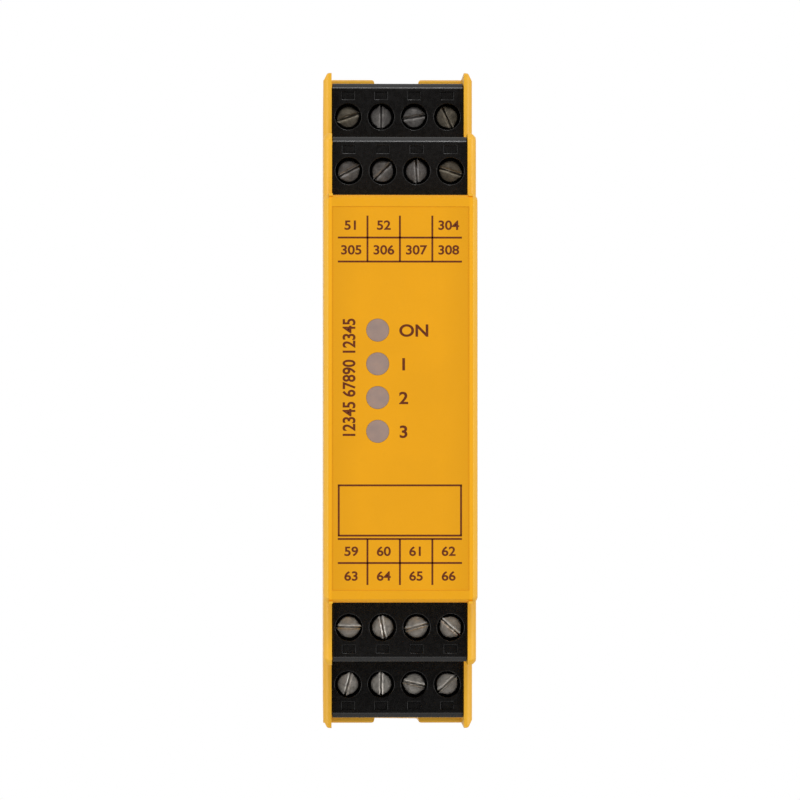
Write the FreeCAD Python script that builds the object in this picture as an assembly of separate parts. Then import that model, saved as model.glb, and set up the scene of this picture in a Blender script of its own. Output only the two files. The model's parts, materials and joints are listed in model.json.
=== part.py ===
"""Safety relay: a 22.5 mm wide rail-mounted module with four plug-in screw terminal blocks.

Millimetres. +Z is up, +X is to the right as seen from the front, and the front looks along -Y.
The origin is the middle of the face that rests on the rail, so y = 0 is the rail's front plane.
"""

import FreeCAD, Part
import math
import os

V = FreeCAD.Vector

# Module
module_width = 22.5
module_height = 99.0
front_reach = 109.0
back_reach = 5.5
side_wall = 1.25
end_wall = 1.3
inner_wall = 1.2
back_wall = 1.6
edge_chamfer = 0.6
seam_chamfer = 0.25
fit = 0.1

# Steps of the housing, from the front plane backwards
front_step = 6.0
rear_step = 16.0
wall_over_plug = 1.0
parting_depth = 79.0
end_wall_depth = 34.0
step_corner = 0.8
ear_end_chamfer = 1.2

# Pry notch in each end wall, wider towards the outside, with a pad behind its ramp
notch_width = 6.4
notch_flare = 0.3
notch_depth = 11.0
notch_pad = 0.9

# Vent slots in the end walls
vent_count = 5
vent_width = 1.4
vent_length = 13.0
vent_pitch = 3.2
vent_depth = 50.0

# Latches that hold the rear housing in the upper one
latch_width = 9.0
latch_length = 2.6
latch_spread = 58.0
latch_ledge = 0.9
latch_sink = 0.1
latch_lead = 0.4
lap_length = 4.4
lap_wall = 0.55

# Rail recess for a 35 mm top-hat rail
rail_height = 35.0
rail_play = 0.3
flange_thickness = 1.0
flange_play = 0.2
rail_hook = 1.5
hook_thickness = 1.7
hook_slope = 1.2
rail_land = 24.0
groove_width = 1.0
groove_depth = 0.6
corner_slant_height = 8.5
corner_slant_length = 19.5

# Foot catch
foot_width = 10.0
foot_thickness = 2.0
foot_ridge_width = 6.6
foot_ridge = 0.9
foot_lip = 0.9
foot_tab = 2.6
foot_tab_step = 1.0
foot_tab_slot_width = 4.4
foot_tab_slot_height = 1.4
foot_tab_slot_rise = 1.6
foot_channel_wall = 1.2
foot_play = 0.2
foot_travel = 4.0
foot_bevel = 1.6
foot_corner = 1.0
foot_hook_length = 1.5
foot_hook_tip = 0.8

# Spring of the foot catch
spring_wire = 0.45
spring_diameter = 2.7
spring_pitch = 1.76
spring_hook_gap = 1.65
spring_corner_gap = 2.0
spring_peg = 2.0
spring_window = 3.8
spring_end_gap = 0.05

# Front cover
cover_thickness = 2.0
cover_side_rim = 0.75
cover_gap = 0.05
cover_end_gap = 0.35
cover_chamfer = 0.3
cover_leg_width = 4.0
cover_leg_spread = 11.0
cover_leg_depth = 7.0
cover_leg_thickness = 1.1

# Label plate in its recess
label_width = 19.9
label_band = 1.6
label_thickness = 0.3
label_fit = 0.04
recess_depth = 0.4

# Light guide and indicator lamps
lamp_count = 4
lamp_pitch = 4.92
lamp_top = 9.96
lamp_x = -3.35
guide_radius = 1.65
guide_fit = 0.03
guide_length = 8.5
guide_bar_width = 5.0
guide_bar_thickness = 1.0
guide_bar_margin = 1.2
lamp_radius = 1.5
lamp_length = 4.0
lamp_gap = 0.3
lamp_block_depth = 3.0

# Circuit board and what it carries
board_thickness = 1.5
board_wall_gap = 0.4
board_edge_gap = 0.5
board_front_gap = 2.5
board_corner = 6.25
board_hole_radius = 0.75
board_guide_width = 6.0
board_guide_spread = 50.0
board_guide_depth = 4.0
board_guide_wall = 0.8
relay_length = 55.0
relay_width = 16.5
relay_height = 16.2
relay_gap = 1.2
relay_rear_gap = 2.5
relay_chamfer = 0.5
core_length = 30.0
core_end_gap = 2.2
core_thickness = 9.0
core_leg = 5.0
coil_height = 17.0
coil_flange = 1.0
coil_gap = 0.15
coil_round = 1.2
core_gap = 2.8
core_depth = 11.0
capacitor_radius = 5.0
capacitor_height = 16.0
capacitor_depth = 62.0
capacitor_gap = 4.3
capacitor_groove = 0.5
capacitor_groove_height = 1.6

# Plug-in terminal blocks, measured from their face and from their outer end
pole_count = 4
pole_pitch = 5.0
plug_width = 19.8
plug_height = 8.8
plug_depth = 14.0
plug_end_gap = 0.2
plug_step_gap = 0.5
plug_chamfer = 0.6
tongue_width = 18.0
tongue_height = 5.4
tongue_length = 8.0
tongue_inset = 1.6
tongue_chamfer = 0.4
screw_inset = 5.05
well_radius = 2.0
well_depth = 2.5
well_floor = 0.9
ledge_hole_radius = 1.25
tag_slot_inset = 1.85
tag_slot_width = 1.9
tag_slot_height = 1.15
tag_slot_depth = 1.4
entry_width = 2.6
entry_height = 2.5
entry_depth = 9.55
funnel_width = 4.2
funnel_height = 3.7
funnel_depth = 1.1

# Clamp screw, one to each pole
head_radius = 1.6
head_height = 1.6
head_sink = 0.9
head_edge = 0.2
burr_radius = 1.88
burr_width = 1.1
burr_height = 0.45
drive_width = 0.5
drive_depth = 0.9
shank_radius = 1.1
shank_gap = 0.1

# Rising clamp cage, one to each pole
cage_width = 3.6
cage_length = 4.0
cage_side = 0.5
cage_floor = 0.6
cage_plate = 1.4
cage_window = 3.4
cage_travel = 2.25
cage_round = 0.5
cage_bore_fit = 0.06
cage_side_fit = 0.15
cage_end_fit = 0.2
cage_top_gap = 0.25
cage_bottom_gap = 0.4

# Contact of each pole, from the clamp to the header pin
bar_width = 2.1
bar_thickness = 0.8
bar_gap = 0.3
leg_thickness = 0.7
heel_wall = 0.7
contact_fit = 0.1
leaf_thickness = 0.4
leaf_fit = 0.06
leaf_length = 7.2
leaf_height = 1.4

# Pin header behind each plug
header_wall = 0.5
header_floor = 1.4
header_fit = 0.1
header_depth_gap = 0.6
pin_size = 1.0
pin_start = 1.0
pin_row_step = 1.8
pin_row_start = 1.2
pin_tip = 0.2
pin_point = 0.25
pin_mouth_fit = 0.15
pin_slot_fit = 0.02

# Slot direction of each screw as seen from the front, degrees anticlockwise from level,
# left to right, for the four rows of screws from the top down
slot_angles = {
    "top_rear": (18, 90, 10, 115),
    "top_front": (28, 45, 93, -17),
    "bottom_front": (-2, 100, 15, -42),
    "bottom_rear": (75, 90, -13, 42),
}

# Places that follow from the sizes above
half_width = module_width / 2
half_height = module_height / 2
inner_half = half_width - side_wall
front_y = -front_reach
front_wall_y = front_y + front_step
rear_wall_y = front_wall_y + rear_step
parting_y = front_y + parting_depth
end_wall_y = front_y + end_wall_depth
end_inner = half_height - end_wall
plug_face_y = {"front": front_wall_y + wall_over_plug, "rear": rear_wall_y + wall_over_plug}
rear_plug_outer = end_inner - plug_end_gap
plug_outer = {"front": rear_plug_outer - plug_height - plug_step_gap, "rear": rear_plug_outer}
floor_y = {level: face + plug_depth for level, face in plug_face_y.items()}
step_half = plug_outer["front"] + plug_step_gap
nose_half = plug_outer["front"] - plug_height
nose_wall_half = nose_half - fit
step_wall_half = step_half - fit
label_height = 2 * (nose_half - cover_end_gap - label_band)
recess_half = (rail_height + rail_play) / 2
catch_low = recess_half + foot_hook_length + foot_travel + foot_play
spring_top = catch_low + spring_hook_gap
spring_low = half_height - corner_slant_height - spring_corner_gap - spring_peg
spring_length = spring_low - spring_top
relay_outer = relay_gap + relay_width
core_width = end_inner - relay_outer - core_gap - core_end_gap
board_face = -inner_half + board_wall_gap + board_thickness
pole_x = [(i - (pole_count - 1) / 2) * pole_pitch for i in range(pole_count)]
lamp_z = [lamp_top - i * lamp_pitch for i in range(lamp_count)]
header_depth = plug_depth + tongue_length + header_depth_gap + header_floor
cage_top = well_depth + well_floor + cage_top_gap + cage_travel
cage_bottom = cage_top + cage_plate + cage_window + cage_floor
bar_top = cage_top + cage_plate + bar_gap
chamber_bottom = cage_bottom + cage_bottom_gap
chamber_outer = screw_inset - cage_length / 2 - cage_end_fit
chamber_inner = screw_inset + cage_length / 2 + cage_end_fit
leg_inner = chamber_inner + leg_thickness
heel_top = chamber_bottom + heel_wall
pin_inset = tongue_inset + tongue_height / 2
ends = {"top": 1, "bottom": -1}


def box(x0, x1, y0, y1, z0, z1):
    """A box between two corners."""
    return Part.makeBox(x1 - x0, y1 - y0, z1 - z0, V(x0, y0, z0))


def rod(radius, y0, y1, x=0.0, z=0.0):
    """A round bar along Y."""
    return Part.makeCylinder(radius, y1 - y0, V(x, y0, z), V(0, 1, 0))


def slab(outline, x0, x1):
    """An outline of (y, z) points, extruded along X."""
    points = [V(x0, y, z) for y, z in outline]
    face = Part.Face(Part.makePolygon(points + points[:1]))
    return face.extrude(V(x1 - x0, 0, 0))


def mirrored(half_outline):
    """Both halves of an outline whose lower half mirrors the upper one."""
    return half_outline + [(y, -z) for y, z in reversed(half_outline)]


def frustum(x_half, y_half, z, x_half_2, y_half_2, z_2, y=0.0):
    """A tapered block between two rectangles that lie across Z."""
    wires = []
    for a, b, height in ((x_half, y_half, z), (x_half_2, y_half_2, z_2)):
        corners = [V(-a, y - b, height), V(a, y - b, height), V(a, y + b, height), V(-a, y + b, height)]
        wires.append(Part.makePolygon(corners + corners[:1]))
    return Part.makeLoft(wires, True, True)


def edges_where(shape, test):
    """The edges of a shape whose two ends both pass a test."""
    return [e for e in shape.Edges if len(e.Vertexes) == 2 and all(test(v.Point) for v in e.Vertexes)]


def near(a, b):
    return abs(a - b) < 1e-4


def fused(shapes):
    """One solid from several that touch."""
    whole = shapes[0].multiFuse(shapes[1:]) if len(shapes) > 1 else shapes[0]
    return whole.removeSplitter()


def cut(shape, tools):
    return shape.cut(Part.makeCompound(tools)).removeSplitter()


def save(shape, name):
    """Write one node, a solid or a group of separate solids."""
    solids = shape.Solids
    whole = solids[0] if len(solids) == 1 else Part.makeCompound(solids)
    whole.exportStep("parts/" + name + ".step")


def at_plug(shape, level, end):
    """Move a shape from the plug's own frame, face at y = 0 and outer end at z = 0, to its pocket."""
    moved = shape.copy()
    if end == "bottom":
        moved.rotate(V(0, 0, 0), V(0, 1, 0), 180)
    moved.translate(V(0, plug_face_y[level], ends[end] * plug_outer[level]))
    return moved


def side_plate(side):
    """One side wall of the upper housing with its three front heights."""
    c = step_corner
    outline = mirrored([
        (front_y, nose_half - c),
        (front_y + c, nose_half),
        (front_wall_y, nose_half),
        (front_wall_y, step_half - c),
        (front_wall_y + c, step_half),
        (rear_wall_y, step_half),
        (rear_wall_y, half_height),
        (parting_y, half_height),
    ])
    plate = slab(outline, inner_half, half_width)
    front_edges = edges_where(
        plate, lambda p: near(p.x, half_width) and p.y < parting_y - 1 and abs(p.z) < half_height + 1
        and not (near(abs(p.z), half_height) and p.y > rear_wall_y + 1))
    plate = plate.makeChamfer(edge_chamfer, front_edges)
    for end in ends.values():
        points = [(half_width - edge_chamfer, half_height), (half_width, half_height - ear_end_chamfer),
                  (half_width + 1, half_height - ear_end_chamfer), (half_width + 1, half_height)]
        corners = [V(x, rear_wall_y - 1, end * z) for x, z in points]
        corner = Part.Face(Part.makePolygon(corners + corners[:1]))
        plate = plate.cut(corner.extrude(V(0, end_wall_y - rear_wall_y + 1, 0)))
    rebate = box(0, half_width - cover_side_rim, front_y - 1, front_y + cover_thickness + cover_gap,
                 -nose_half, nose_half)
    plate = plate.cut(rebate)
    return plate if side > 0 else plate.mirror(V(0, 0, 0), V(1, 0, 0))


def latch_window_places():
    """Side, and middle height, of each latch between the two housings."""
    return [(side, z) for side in (-1, 1) for z in (-latch_spread / 2, latch_spread / 2)]


def pry_notch(sign):
    """Notch in an end wall whose floor ramps up from the pocket to the outer face."""
    across = notch_width / 2 + notch_flare
    ramp = slab([
        (end_wall_y - 1, sign * end_inner),
        (floor_y["rear"], sign * end_inner),
        (end_wall_y + notch_depth, sign * half_height),
        (end_wall_y - 1, sign * half_height),
    ], -across, across)
    points = [(-notch_width / 2, end_inner), (notch_width / 2, end_inner),
              (across, half_height), (-across, half_height)]
    corners = [V(x, end_wall_y - 1, sign * z) for x, z in points]
    return ramp.common(Part.Face(Part.makePolygon(corners + corners[:1])).extrude(V(0, notch_depth + 1, 0)))


def upper_housing():
    """Hood with the stepped side walls, the plug pockets and the two end walls."""
    lid_y = front_y + cover_thickness + cover_gap
    t = inner_wall
    outer = slab(mirrored([
        (lid_y, nose_wall_half),
        (floor_y["front"], nose_wall_half),
        (floor_y["front"], step_wall_half),
        (floor_y["rear"], step_wall_half),
        (floor_y["rear"], end_inner),
        (end_wall_y, end_inner),
        (end_wall_y, half_height),
        (parting_y, half_height),
    ]), -inner_half, inner_half)
    inner = slab(mirrored([
        (lid_y - 1, nose_wall_half - t),
        (floor_y["front"] + t, nose_wall_half - t),
        (floor_y["front"] + t, step_wall_half - t),
        (floor_y["rear"] + t, step_wall_half - t),
        (floor_y["rear"] + t, end_inner),
        (parting_y + 1, end_inner),
    ]), -inner_half, inner_half)
    pad_half = notch_width / 2 + notch_flare + notch_pad
    pads = [box(-pad_half, pad_half, floor_y["rear"], end_wall_y + notch_depth + notch_pad,
                min(sign * end_inner, sign * (end_inner - notch_pad)),
                max(sign * end_inner, sign * (end_inner - notch_pad))) for sign in ends.values()]
    body = fused([outer.cut(inner), side_plate(-1), side_plate(1)] + pads)
    tools = []
    for end, sign in ends.items():
        for level in plug_face_y:
            window_half = tongue_width / 2 + header_wall + 2 * header_fit
            low = tongue_inset - header_wall - 2 * header_fit
            high = tongue_inset + tongue_height + header_wall + 2 * header_fit
            window = box(-window_half, window_half, plug_depth - 1, plug_depth + t + 1, -high, -low)
            tools.append(at_plug(window, level, end))
        tools.append(pry_notch(sign))
        for i in range(vent_count):
            x = (i - (vent_count - 1) / 2) * vent_pitch
            z_low = min(sign * (end_inner - 1), sign * (half_height + 1))
            y_low = front_y + vent_depth
            tools.append(box(x - vent_width / 2, x + vent_width / 2, y_low, y_low + vent_length,
                             z_low, z_low + end_wall + 2))
    lap_half = inner_half + lap_wall + cover_gap
    lap_end = end_inner + lap_wall + cover_gap
    tools.append(box(-lap_half, lap_half, parting_y - lap_length - fit, parting_y + 1, -lap_end, lap_end))
    for side, z in latch_window_places():
        y_high = parting_y - latch_ledge
        x_low = min(side * inner_half, side * (half_width + 1))
        tools.append(box(x_low, x_low + side_wall + 1, y_high - latch_length, y_high,
                         z - latch_width / 2, z + latch_width / 2))
    return cut(body, tools)


def rear_outline(inset):
    """Outline of the rear housing in (y, z), or of its inside when inset is the wall."""
    slope = math.hypot(corner_slant_length, corner_slant_height)
    slant_y = back_reach - corner_slant_length
    front = parting_y - lap_length - 1 if inset else parting_y
    end_inset = end_wall if inset else 0
    y_back = back_reach - inset
    corner_y = slant_y + (end_inset * corner_slant_length - inset * slope) / corner_slant_height
    drop = ((y_back - slant_y) * corner_slant_height + inset * slope) / corner_slant_length
    return [
        (front, half_height - end_inset),
        (corner_y, half_height - end_inset),
        (y_back, half_height - drop),
        (y_back, recess_half + inset),
        (-inset, recess_half + inset),
    ]


def foot_channel_floor():
    """Height along Y of the face that the foot catch slides on."""
    return back_reach - foot_lip - foot_play - foot_thickness - foot_play


def rear_housing():
    """Tray with the rail recess, the fixed rail hooks and the channel of the foot catch."""
    body = slab(mirrored(rear_outline(0)), -half_width, half_width)
    hook_y = flange_thickness + flange_play
    hook = slab([
        (hook_y, recess_half),
        (hook_y, recess_half - rail_hook),
        (hook_y + hook_thickness, recess_half - rail_hook),
        (back_reach, recess_half + hook_slope),
        (back_reach, recess_half + back_wall),
        (0, recess_half + back_wall),
        (0, recess_half),
    ], -half_width, half_width)
    body = body.fuse(hook)
    hollow = slab(mirrored(rear_outline(back_wall)), -inner_half, inner_half)
    floor = foot_channel_floor()
    pad_half = foot_width / 2 + foot_play + foot_channel_wall
    pad = box(-pad_half, pad_half, floor - back_wall, back_reach, -end_inner, -recess_half)
    hook_floor = flange_thickness + flange_play - foot_play
    pocket_low = -catch_low
    pocket_half = foot_ridge_width / 2 + foot_play
    hook_pad = box(-pocket_half - back_wall, pocket_half + back_wall, hook_floor - back_wall, back_reach,
                   pocket_low - back_wall, -recess_half)
    hollow = hollow.cut(Part.makeCompound([pad, hook_pad]))
    body = body.cut(hollow)

    lap = slab(mirrored([
        (parting_y - lap_length, end_inner + lap_wall),
        (parting_y + 1, end_inner + lap_wall),
    ]), -inner_half - lap_wall, inner_half + lap_wall)
    lap = lap.cut(slab(mirrored([
        (parting_y - lap_length - 1, end_inner),
        (parting_y + 2, end_inner),
    ]), -inner_half, inner_half))
    pieces = [body, lap]
    for side, z in latch_window_places():
        face = half_width - latch_sink
        root = inner_half + lap_wall - latch_sink
        y_high = parting_y - latch_ledge - fit
        y_low = y_high - latch_length + 2 * fit
        latch = box(min(side * root, side * face), max(side * root, side * face), y_low, y_high,
                    z - latch_width / 2 + fit, z + latch_width / 2 - fit)
        lead = edges_where(latch, lambda p: near(abs(p.x), face) and near(p.y, y_low))
        pieces.append(latch.makeChamfer(latch_lead, lead))
    rib_x = board_face + fit
    for z in (-board_guide_spread / 2, board_guide_spread / 2):
        pieces.append(box(rib_x, rib_x + board_guide_wall,
                          -back_wall - board_guide_depth, back_reach - back_wall,
                          z - board_guide_width / 2, z + board_guide_width / 2))
    body = fused(pieces)

    gap = foot_play
    lip_half = foot_ridge_width / 2 + gap
    wide_half = foot_width / 2 + gap
    tools = [
        box(-wide_half, wide_half, floor, back_reach - foot_lip, -half_height, -recess_half + 1),
        box(-lip_half, lip_half, floor, back_reach + 1, -half_height, -recess_half + 1),
        box(-pocket_half, pocket_half, hook_floor, back_reach + 1, pocket_low, -recess_half + 1),
    ]
    for sign in ends.values():
        z_low = min(sign * rail_land / 2, sign * (rail_land / 2 + groove_width))
        tools.append(box(-half_width - 1, half_width + 1, -groove_depth, 1, z_low, z_low + groove_width))
    body = cut(body, tools)
    peg_half = spring_window / 2 - gap
    peg = box(-peg_half, peg_half, floor, back_reach - foot_lip, -spring_low - spring_peg, -spring_low)
    body = fused([body, peg])
    seam = edges_where(body, lambda p: near(p.y, parting_y)
                       and (near(abs(p.x), half_width) or near(abs(p.z), half_height)))
    return body.makeChamfer(seam_chamfer, seam)


def foot_catch():
    """Sliding catch that hooks the lower flange of the rail, with its pull tab."""
    y0 = foot_channel_floor() + foot_play
    y1 = y0 + foot_thickness
    y_back = y1 + foot_ridge
    top = -recess_half
    nose = -(recess_half - rail_hook)
    low = -half_height - foot_tab
    nose_y = flange_thickness + flange_play
    plate = box(-foot_width / 2, foot_width / 2, y0, y1, low, top - foot_play)
    corners = edges_where(plate, lambda p: near(p.z, low))
    corners = [e for e in corners if near(e.Vertexes[0].X, e.Vertexes[1].X)]
    plate = plate.makeFillet(foot_corner, corners)
    ridge = box(-foot_ridge_width / 2, foot_ridge_width / 2, y0, y_back, low + foot_tab_step, top - foot_play)
    hook = slab([
        (nose_y, top - foot_hook_length),
        (nose_y, nose),
        (nose_y + foot_hook_tip, nose),
        (y_back, nose - foot_bevel),
        (y_back, top - foot_hook_length),
    ], -foot_ridge_width / 2, foot_ridge_width / 2)
    body = fused([plate, ridge, hook])
    window_low = -spring_low - spring_peg - foot_play
    window = box(-spring_window / 2, spring_window / 2, y0 - 1, y_back + 1, window_low, -spring_top)
    slot_z = low + foot_tab_slot_rise
    slot = box(-foot_tab_slot_width / 2, foot_tab_slot_width / 2, y0 - 1, y_back + 1,
               slot_z, slot_z + foot_tab_slot_height)
    return cut(body, [window, slot])


def foot_spring():
    """Compression spring between the peg of the housing and the upper edge of the foot's window."""
    middle_y = foot_channel_floor() + foot_play + spring_diameter / 2
    radius = (spring_diameter - spring_wire) / 2
    height = spring_length - spring_wire - 2 * spring_end_gap
    z_low = -spring_low + spring_wire / 2 + spring_end_gap
    helix = Part.makeHelix(spring_pitch, height, radius)
    start = V(radius, 0, 0)
    circle = Part.Wire(Part.makeCircle(spring_wire / 2, start, V(0, 1, 0)))
    spring = Part.Wire(helix).makePipeShell([circle], True, True)
    spring.translate(V(0, middle_y, z_low))
    return spring


def front_cover():
    """Snap-on cover with the label recess, the lamp holes and four legs."""
    x_half = half_width - cover_side_rim - cover_gap
    z_half = nose_half - cover_end_gap
    y_rear = front_y + cover_thickness
    plate = box(-x_half, x_half, front_y, y_rear, -z_half, z_half)
    rim = edges_where(plate, lambda p: near(p.y, front_y) and near(abs(p.z), z_half))
    rim = [e for e in rim if near(e.Vertexes[0].Z, e.Vertexes[1].Z)]
    plate = plate.makeChamfer(cover_chamfer, rim)
    legs = []
    wall_face = nose_wall_half - inner_wall - fit
    for sign in ends.values():
        for x in (-cover_leg_spread / 2, cover_leg_spread / 2):
            z_low = min(sign * wall_face, sign * (wall_face - cover_leg_thickness))
            legs.append(box(x - cover_leg_width / 2, x + cover_leg_width / 2, y_rear,
                            y_rear + cover_leg_depth, z_low, z_low + cover_leg_thickness))
    body = fused([plate] + legs)
    x_recess = label_width / 2 + label_fit
    z_recess = label_height / 2 + label_fit
    tools = [box(-x_recess, x_recess, front_y - 1, front_y + recess_depth, -z_recess, z_recess)]
    tools += [rod(guide_radius + guide_fit, front_y - 1, y_rear + 1, lamp_x, z) for z in lamp_z]
    return cut(body, tools)


def label_plate():
    """Thin printed plate in the recess of the cover, with four holes for the lamps."""
    y0 = front_y + recess_depth - label_thickness
    plate = box(-label_width / 2, label_width / 2, y0, y0 + label_thickness,
                -label_height / 2, label_height / 2)
    holes = [rod(guide_radius + guide_fit, y0 - 1, y0 + 1, lamp_x, z) for z in lamp_z]
    return cut(plate, holes)


def light_guide():
    """Clear bar with four rods that bring the light of the lamps to the label."""
    y_face = front_y + recess_depth - label_thickness
    y_bar = front_y + cover_thickness + cover_gap
    rods = [rod(guide_radius, y_face, y_face + guide_length, lamp_x, z) for z in lamp_z]
    margin = guide_radius + guide_bar_margin
    bar = box(lamp_x - guide_bar_width / 2, lamp_x + guide_bar_width / 2, y_bar, y_bar + guide_bar_thickness,
              lamp_z[-1] - margin, lamp_z[0] + margin)
    return fused([bar] + rods)


def indicator_leds():
    """Four lamps, each on a block that stands on the circuit board."""
    y_tip = front_y + recess_depth - label_thickness + guide_length + lamp_gap
    lamps = []
    for z in lamp_z:
        dome = Part.makeSphere(lamp_radius, V(lamp_x, y_tip + lamp_radius, z), V(0, 1, 0), -90, 0, 360)
        barrel = rod(lamp_radius, y_tip + lamp_radius, y_tip + lamp_length, lamp_x, z)
        block = box(board_face, lamp_x + lamp_radius, y_tip + lamp_length,
                    y_tip + lamp_length + lamp_block_depth, z - lamp_radius, z + lamp_radius)
        lamps.append(fused([dome, barrel, block]))
    return Part.makeCompound(lamps)


def board_steps():
    """Half heights of the circuit board in the nose, behind the front plugs and behind the rear ones."""
    margin = board_edge_gap
    nose = nose_wall_half - inner_wall - cover_leg_thickness - 2 * margin
    middle = step_wall_half - inner_wall - margin
    return nose, middle, end_inner - 4 * margin


def circuit_board():
    """Board along the left side wall, stepped to pass the pin headers, with the holes of their pins."""
    nose, middle, wide = board_steps()
    front_end = plug_face_y["front"] + header_depth + board_edge_gap
    rear_end = plug_face_y["rear"] + header_depth + board_edge_gap
    slant_y = back_reach - corner_slant_length
    rear_edge = -back_wall - board_edge_gap
    outline = mirrored([
        (front_y + cover_thickness + board_front_gap, nose),
        (front_end, nose),
        (front_end, middle),
        (rear_end, middle),
        (rear_end, wide),
        (slant_y, wide),
        (rear_edge, wide - board_corner),
    ])
    board = slab(outline, board_face - board_thickness, board_face)
    holes = []
    for end in ends:
        for level in plug_face_y:
            for pin in range(pole_count):
                y, z = pin_hole(level, end, pin)
                hole = Part.makeCylinder(board_hole_radius, board_thickness + 2, V(board_face + 1, y, z),
                                         V(-1, 0, 0))
                holes.append(hole)
    return cut(board, holes)


def pin_hole(level, end, pin):
    """Where header pin number pin, counted from the board, meets the circuit board."""
    y = plug_face_y[level] + header_depth + pin_row_start + pin * pin_row_step
    z = ends[end] * (plug_outer[level] - pin_inset)
    return y, z


def header_pins():
    """The bent square pins of all four headers."""
    h = pin_size / 2
    pins = []
    for end in ends:
        for level in plug_face_y:
            for pin, x in enumerate(pole_x):
                y, z = pin_hole(level, end, pin)
                start = plug_face_y[level] + plug_depth + pin_start
                blade = box(x - h, x + h, start, y + h, z - h, z + h)
                tip = board_face - board_thickness - pin_tip
                leg = box(tip, x + h, y - h, y + h, z - h, z + h)
                tip_edges = edges_where(blade, lambda p: near(p.y, start))
                pins.append(fused([blade.makeChamfer(pin_point, tip_edges), leg]))
    return Part.makeCompound(pins)


def pin_header(level, end):
    """Shroud that receives the tongue of a plug and holds its four pins."""
    gap = header_fit
    wall = header_wall
    x_in = tongue_width / 2 + gap
    z_high = -(tongue_inset - gap)
    z_low = -(tongue_inset + tongue_height + gap)
    shroud = box(-x_in - wall, x_in + wall, plug_depth + gap, header_depth, z_low - wall, z_high + wall)
    socket = box(-x_in, x_in, plug_depth - 1, header_depth - header_floor, z_low, z_high)
    h = pin_size / 2 + pin_slot_fit
    slots = [box(x - h, x + h, plug_depth, header_depth + 1, -pin_inset - h, -pin_inset + h) for x in pole_x]
    return at_plug(cut(shroud, [socket] + slots), level, end)


def relay(sign):
    """Sealed relay with force-guided contacts."""
    y_end = -back_wall - relay_rear_gap
    z_near = sign * relay_gap
    z_far = sign * relay_outer
    body = box(board_face, board_face + relay_height, y_end - relay_length, y_end,
               min(z_near, z_far), max(z_near, z_far))
    rim = edges_where(body, lambda p: near(p.x, board_face + relay_height))
    return body.makeChamfer(relay_chamfer, rim)


def transformer_middle():
    """Middle of the transformer in (y, z)."""
    z = relay_outer + core_gap + core_width / 2
    y = plug_face_y["rear"] + header_depth + core_depth + core_length / 2
    return y, z


def transformer_core():
    """Laminated core with a middle leg and two windows."""
    y, z = transformer_middle()
    x0 = board_face + (coil_height - core_thickness) / 2
    x1 = x0 + core_thickness
    block = box(x0, x1, y - core_length / 2, y + core_length / 2, z - core_width / 2, z + core_width / 2)
    windows = []
    for sign in (-1, 1):
        y_near = y + sign * core_leg
        y_far = y + sign * (core_length / 2 - core_leg)
        windows.append(box(x0 - 1, x1 + 1, min(y_near, y_far), max(y_near, y_far),
                           z - core_width / 2 + core_leg, z + core_width / 2 - core_leg))
    return cut(block, windows)


def transformer_coil():
    """Bobbin with its winding around the middle leg of the core."""
    y, z = transformer_middle()
    z_half = core_width / 2 - core_leg - coil_gap
    y_half = core_length / 2 - core_leg - coil_gap
    x0 = board_face
    x1 = board_face + coil_height
    winding = box(x0 + coil_flange, x1 - coil_flange, y - y_half + coil_flange, y + y_half - coil_flange,
                  z - z_half + coil_flange, z + z_half - coil_flange)
    long_edges = [e for e in winding.Edges if not near(e.Vertexes[0].Z, e.Vertexes[1].Z)]
    winding = winding.makeFillet(coil_round, long_edges)
    flanges = [box(x0, x1, y - y_half, y + y_half, z + side * z_half - (coil_flange if side > 0 else 0),
                   z + side * z_half + (coil_flange if side < 0 else 0)) for side in (-1, 1)]
    body = fused([winding] + flanges)
    core_inset = (coil_height - core_thickness) / 2 - coil_gap
    leg = box(x0 + core_inset, x1 - core_inset,
              y - core_leg - coil_gap, y + core_leg + coil_gap, z - z_half - 1, z + z_half + 1)
    return cut(body, [leg])


def capacitor():
    """Electrolytic capacitor standing on the board, with the groove of its can."""
    y = front_y + capacitor_depth
    z = -relay_outer - capacitor_gap - capacitor_radius
    groove = capacitor_groove
    start = capacitor_groove_height
    profile = [(0, 0), (capacitor_radius, 0), (capacitor_radius, start),
               (capacitor_radius - groove, start + groove), (capacitor_radius, start + 2 * groove),
               (capacitor_radius, capacitor_height - groove),
               (capacitor_radius - groove, capacitor_height), (0, capacitor_height)]
    points = [V(board_face + along, y + out, z) for out, along in profile]
    face = Part.Face(Part.makePolygon(points + points[:1]))
    return face.revolve(V(board_face, y, z), V(1, 0, 0), 360)


def plug(level, end):
    """Four-pole plug: screw wells, clamp chambers, wire entries, tag slots and the mating tongue."""
    w = plug_width / 2
    block = box(-w, w, 0, plug_depth, -plug_height, 0)
    front_outer = edges_where(block, lambda p: near(p.y, 0) and near(p.z, 0))
    block = block.makeChamfer(plug_chamfer, front_outer)
    tongue = box(-tongue_width / 2, tongue_width / 2, plug_depth, plug_depth + tongue_length,
                 -tongue_inset - tongue_height, -tongue_inset)
    end_edges = edges_where(tongue, lambda p: near(p.y, plug_depth + tongue_length))
    body = fused([block, tongue.makeChamfer(tongue_chamfer, end_edges)])
    tools = []
    for x in pole_x:
        tools += [pole_tool.translated(V(x, 0, 0)) for pole_tool in pole_cavity()]
    return at_plug(cut(body, tools), level, end)


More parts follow.
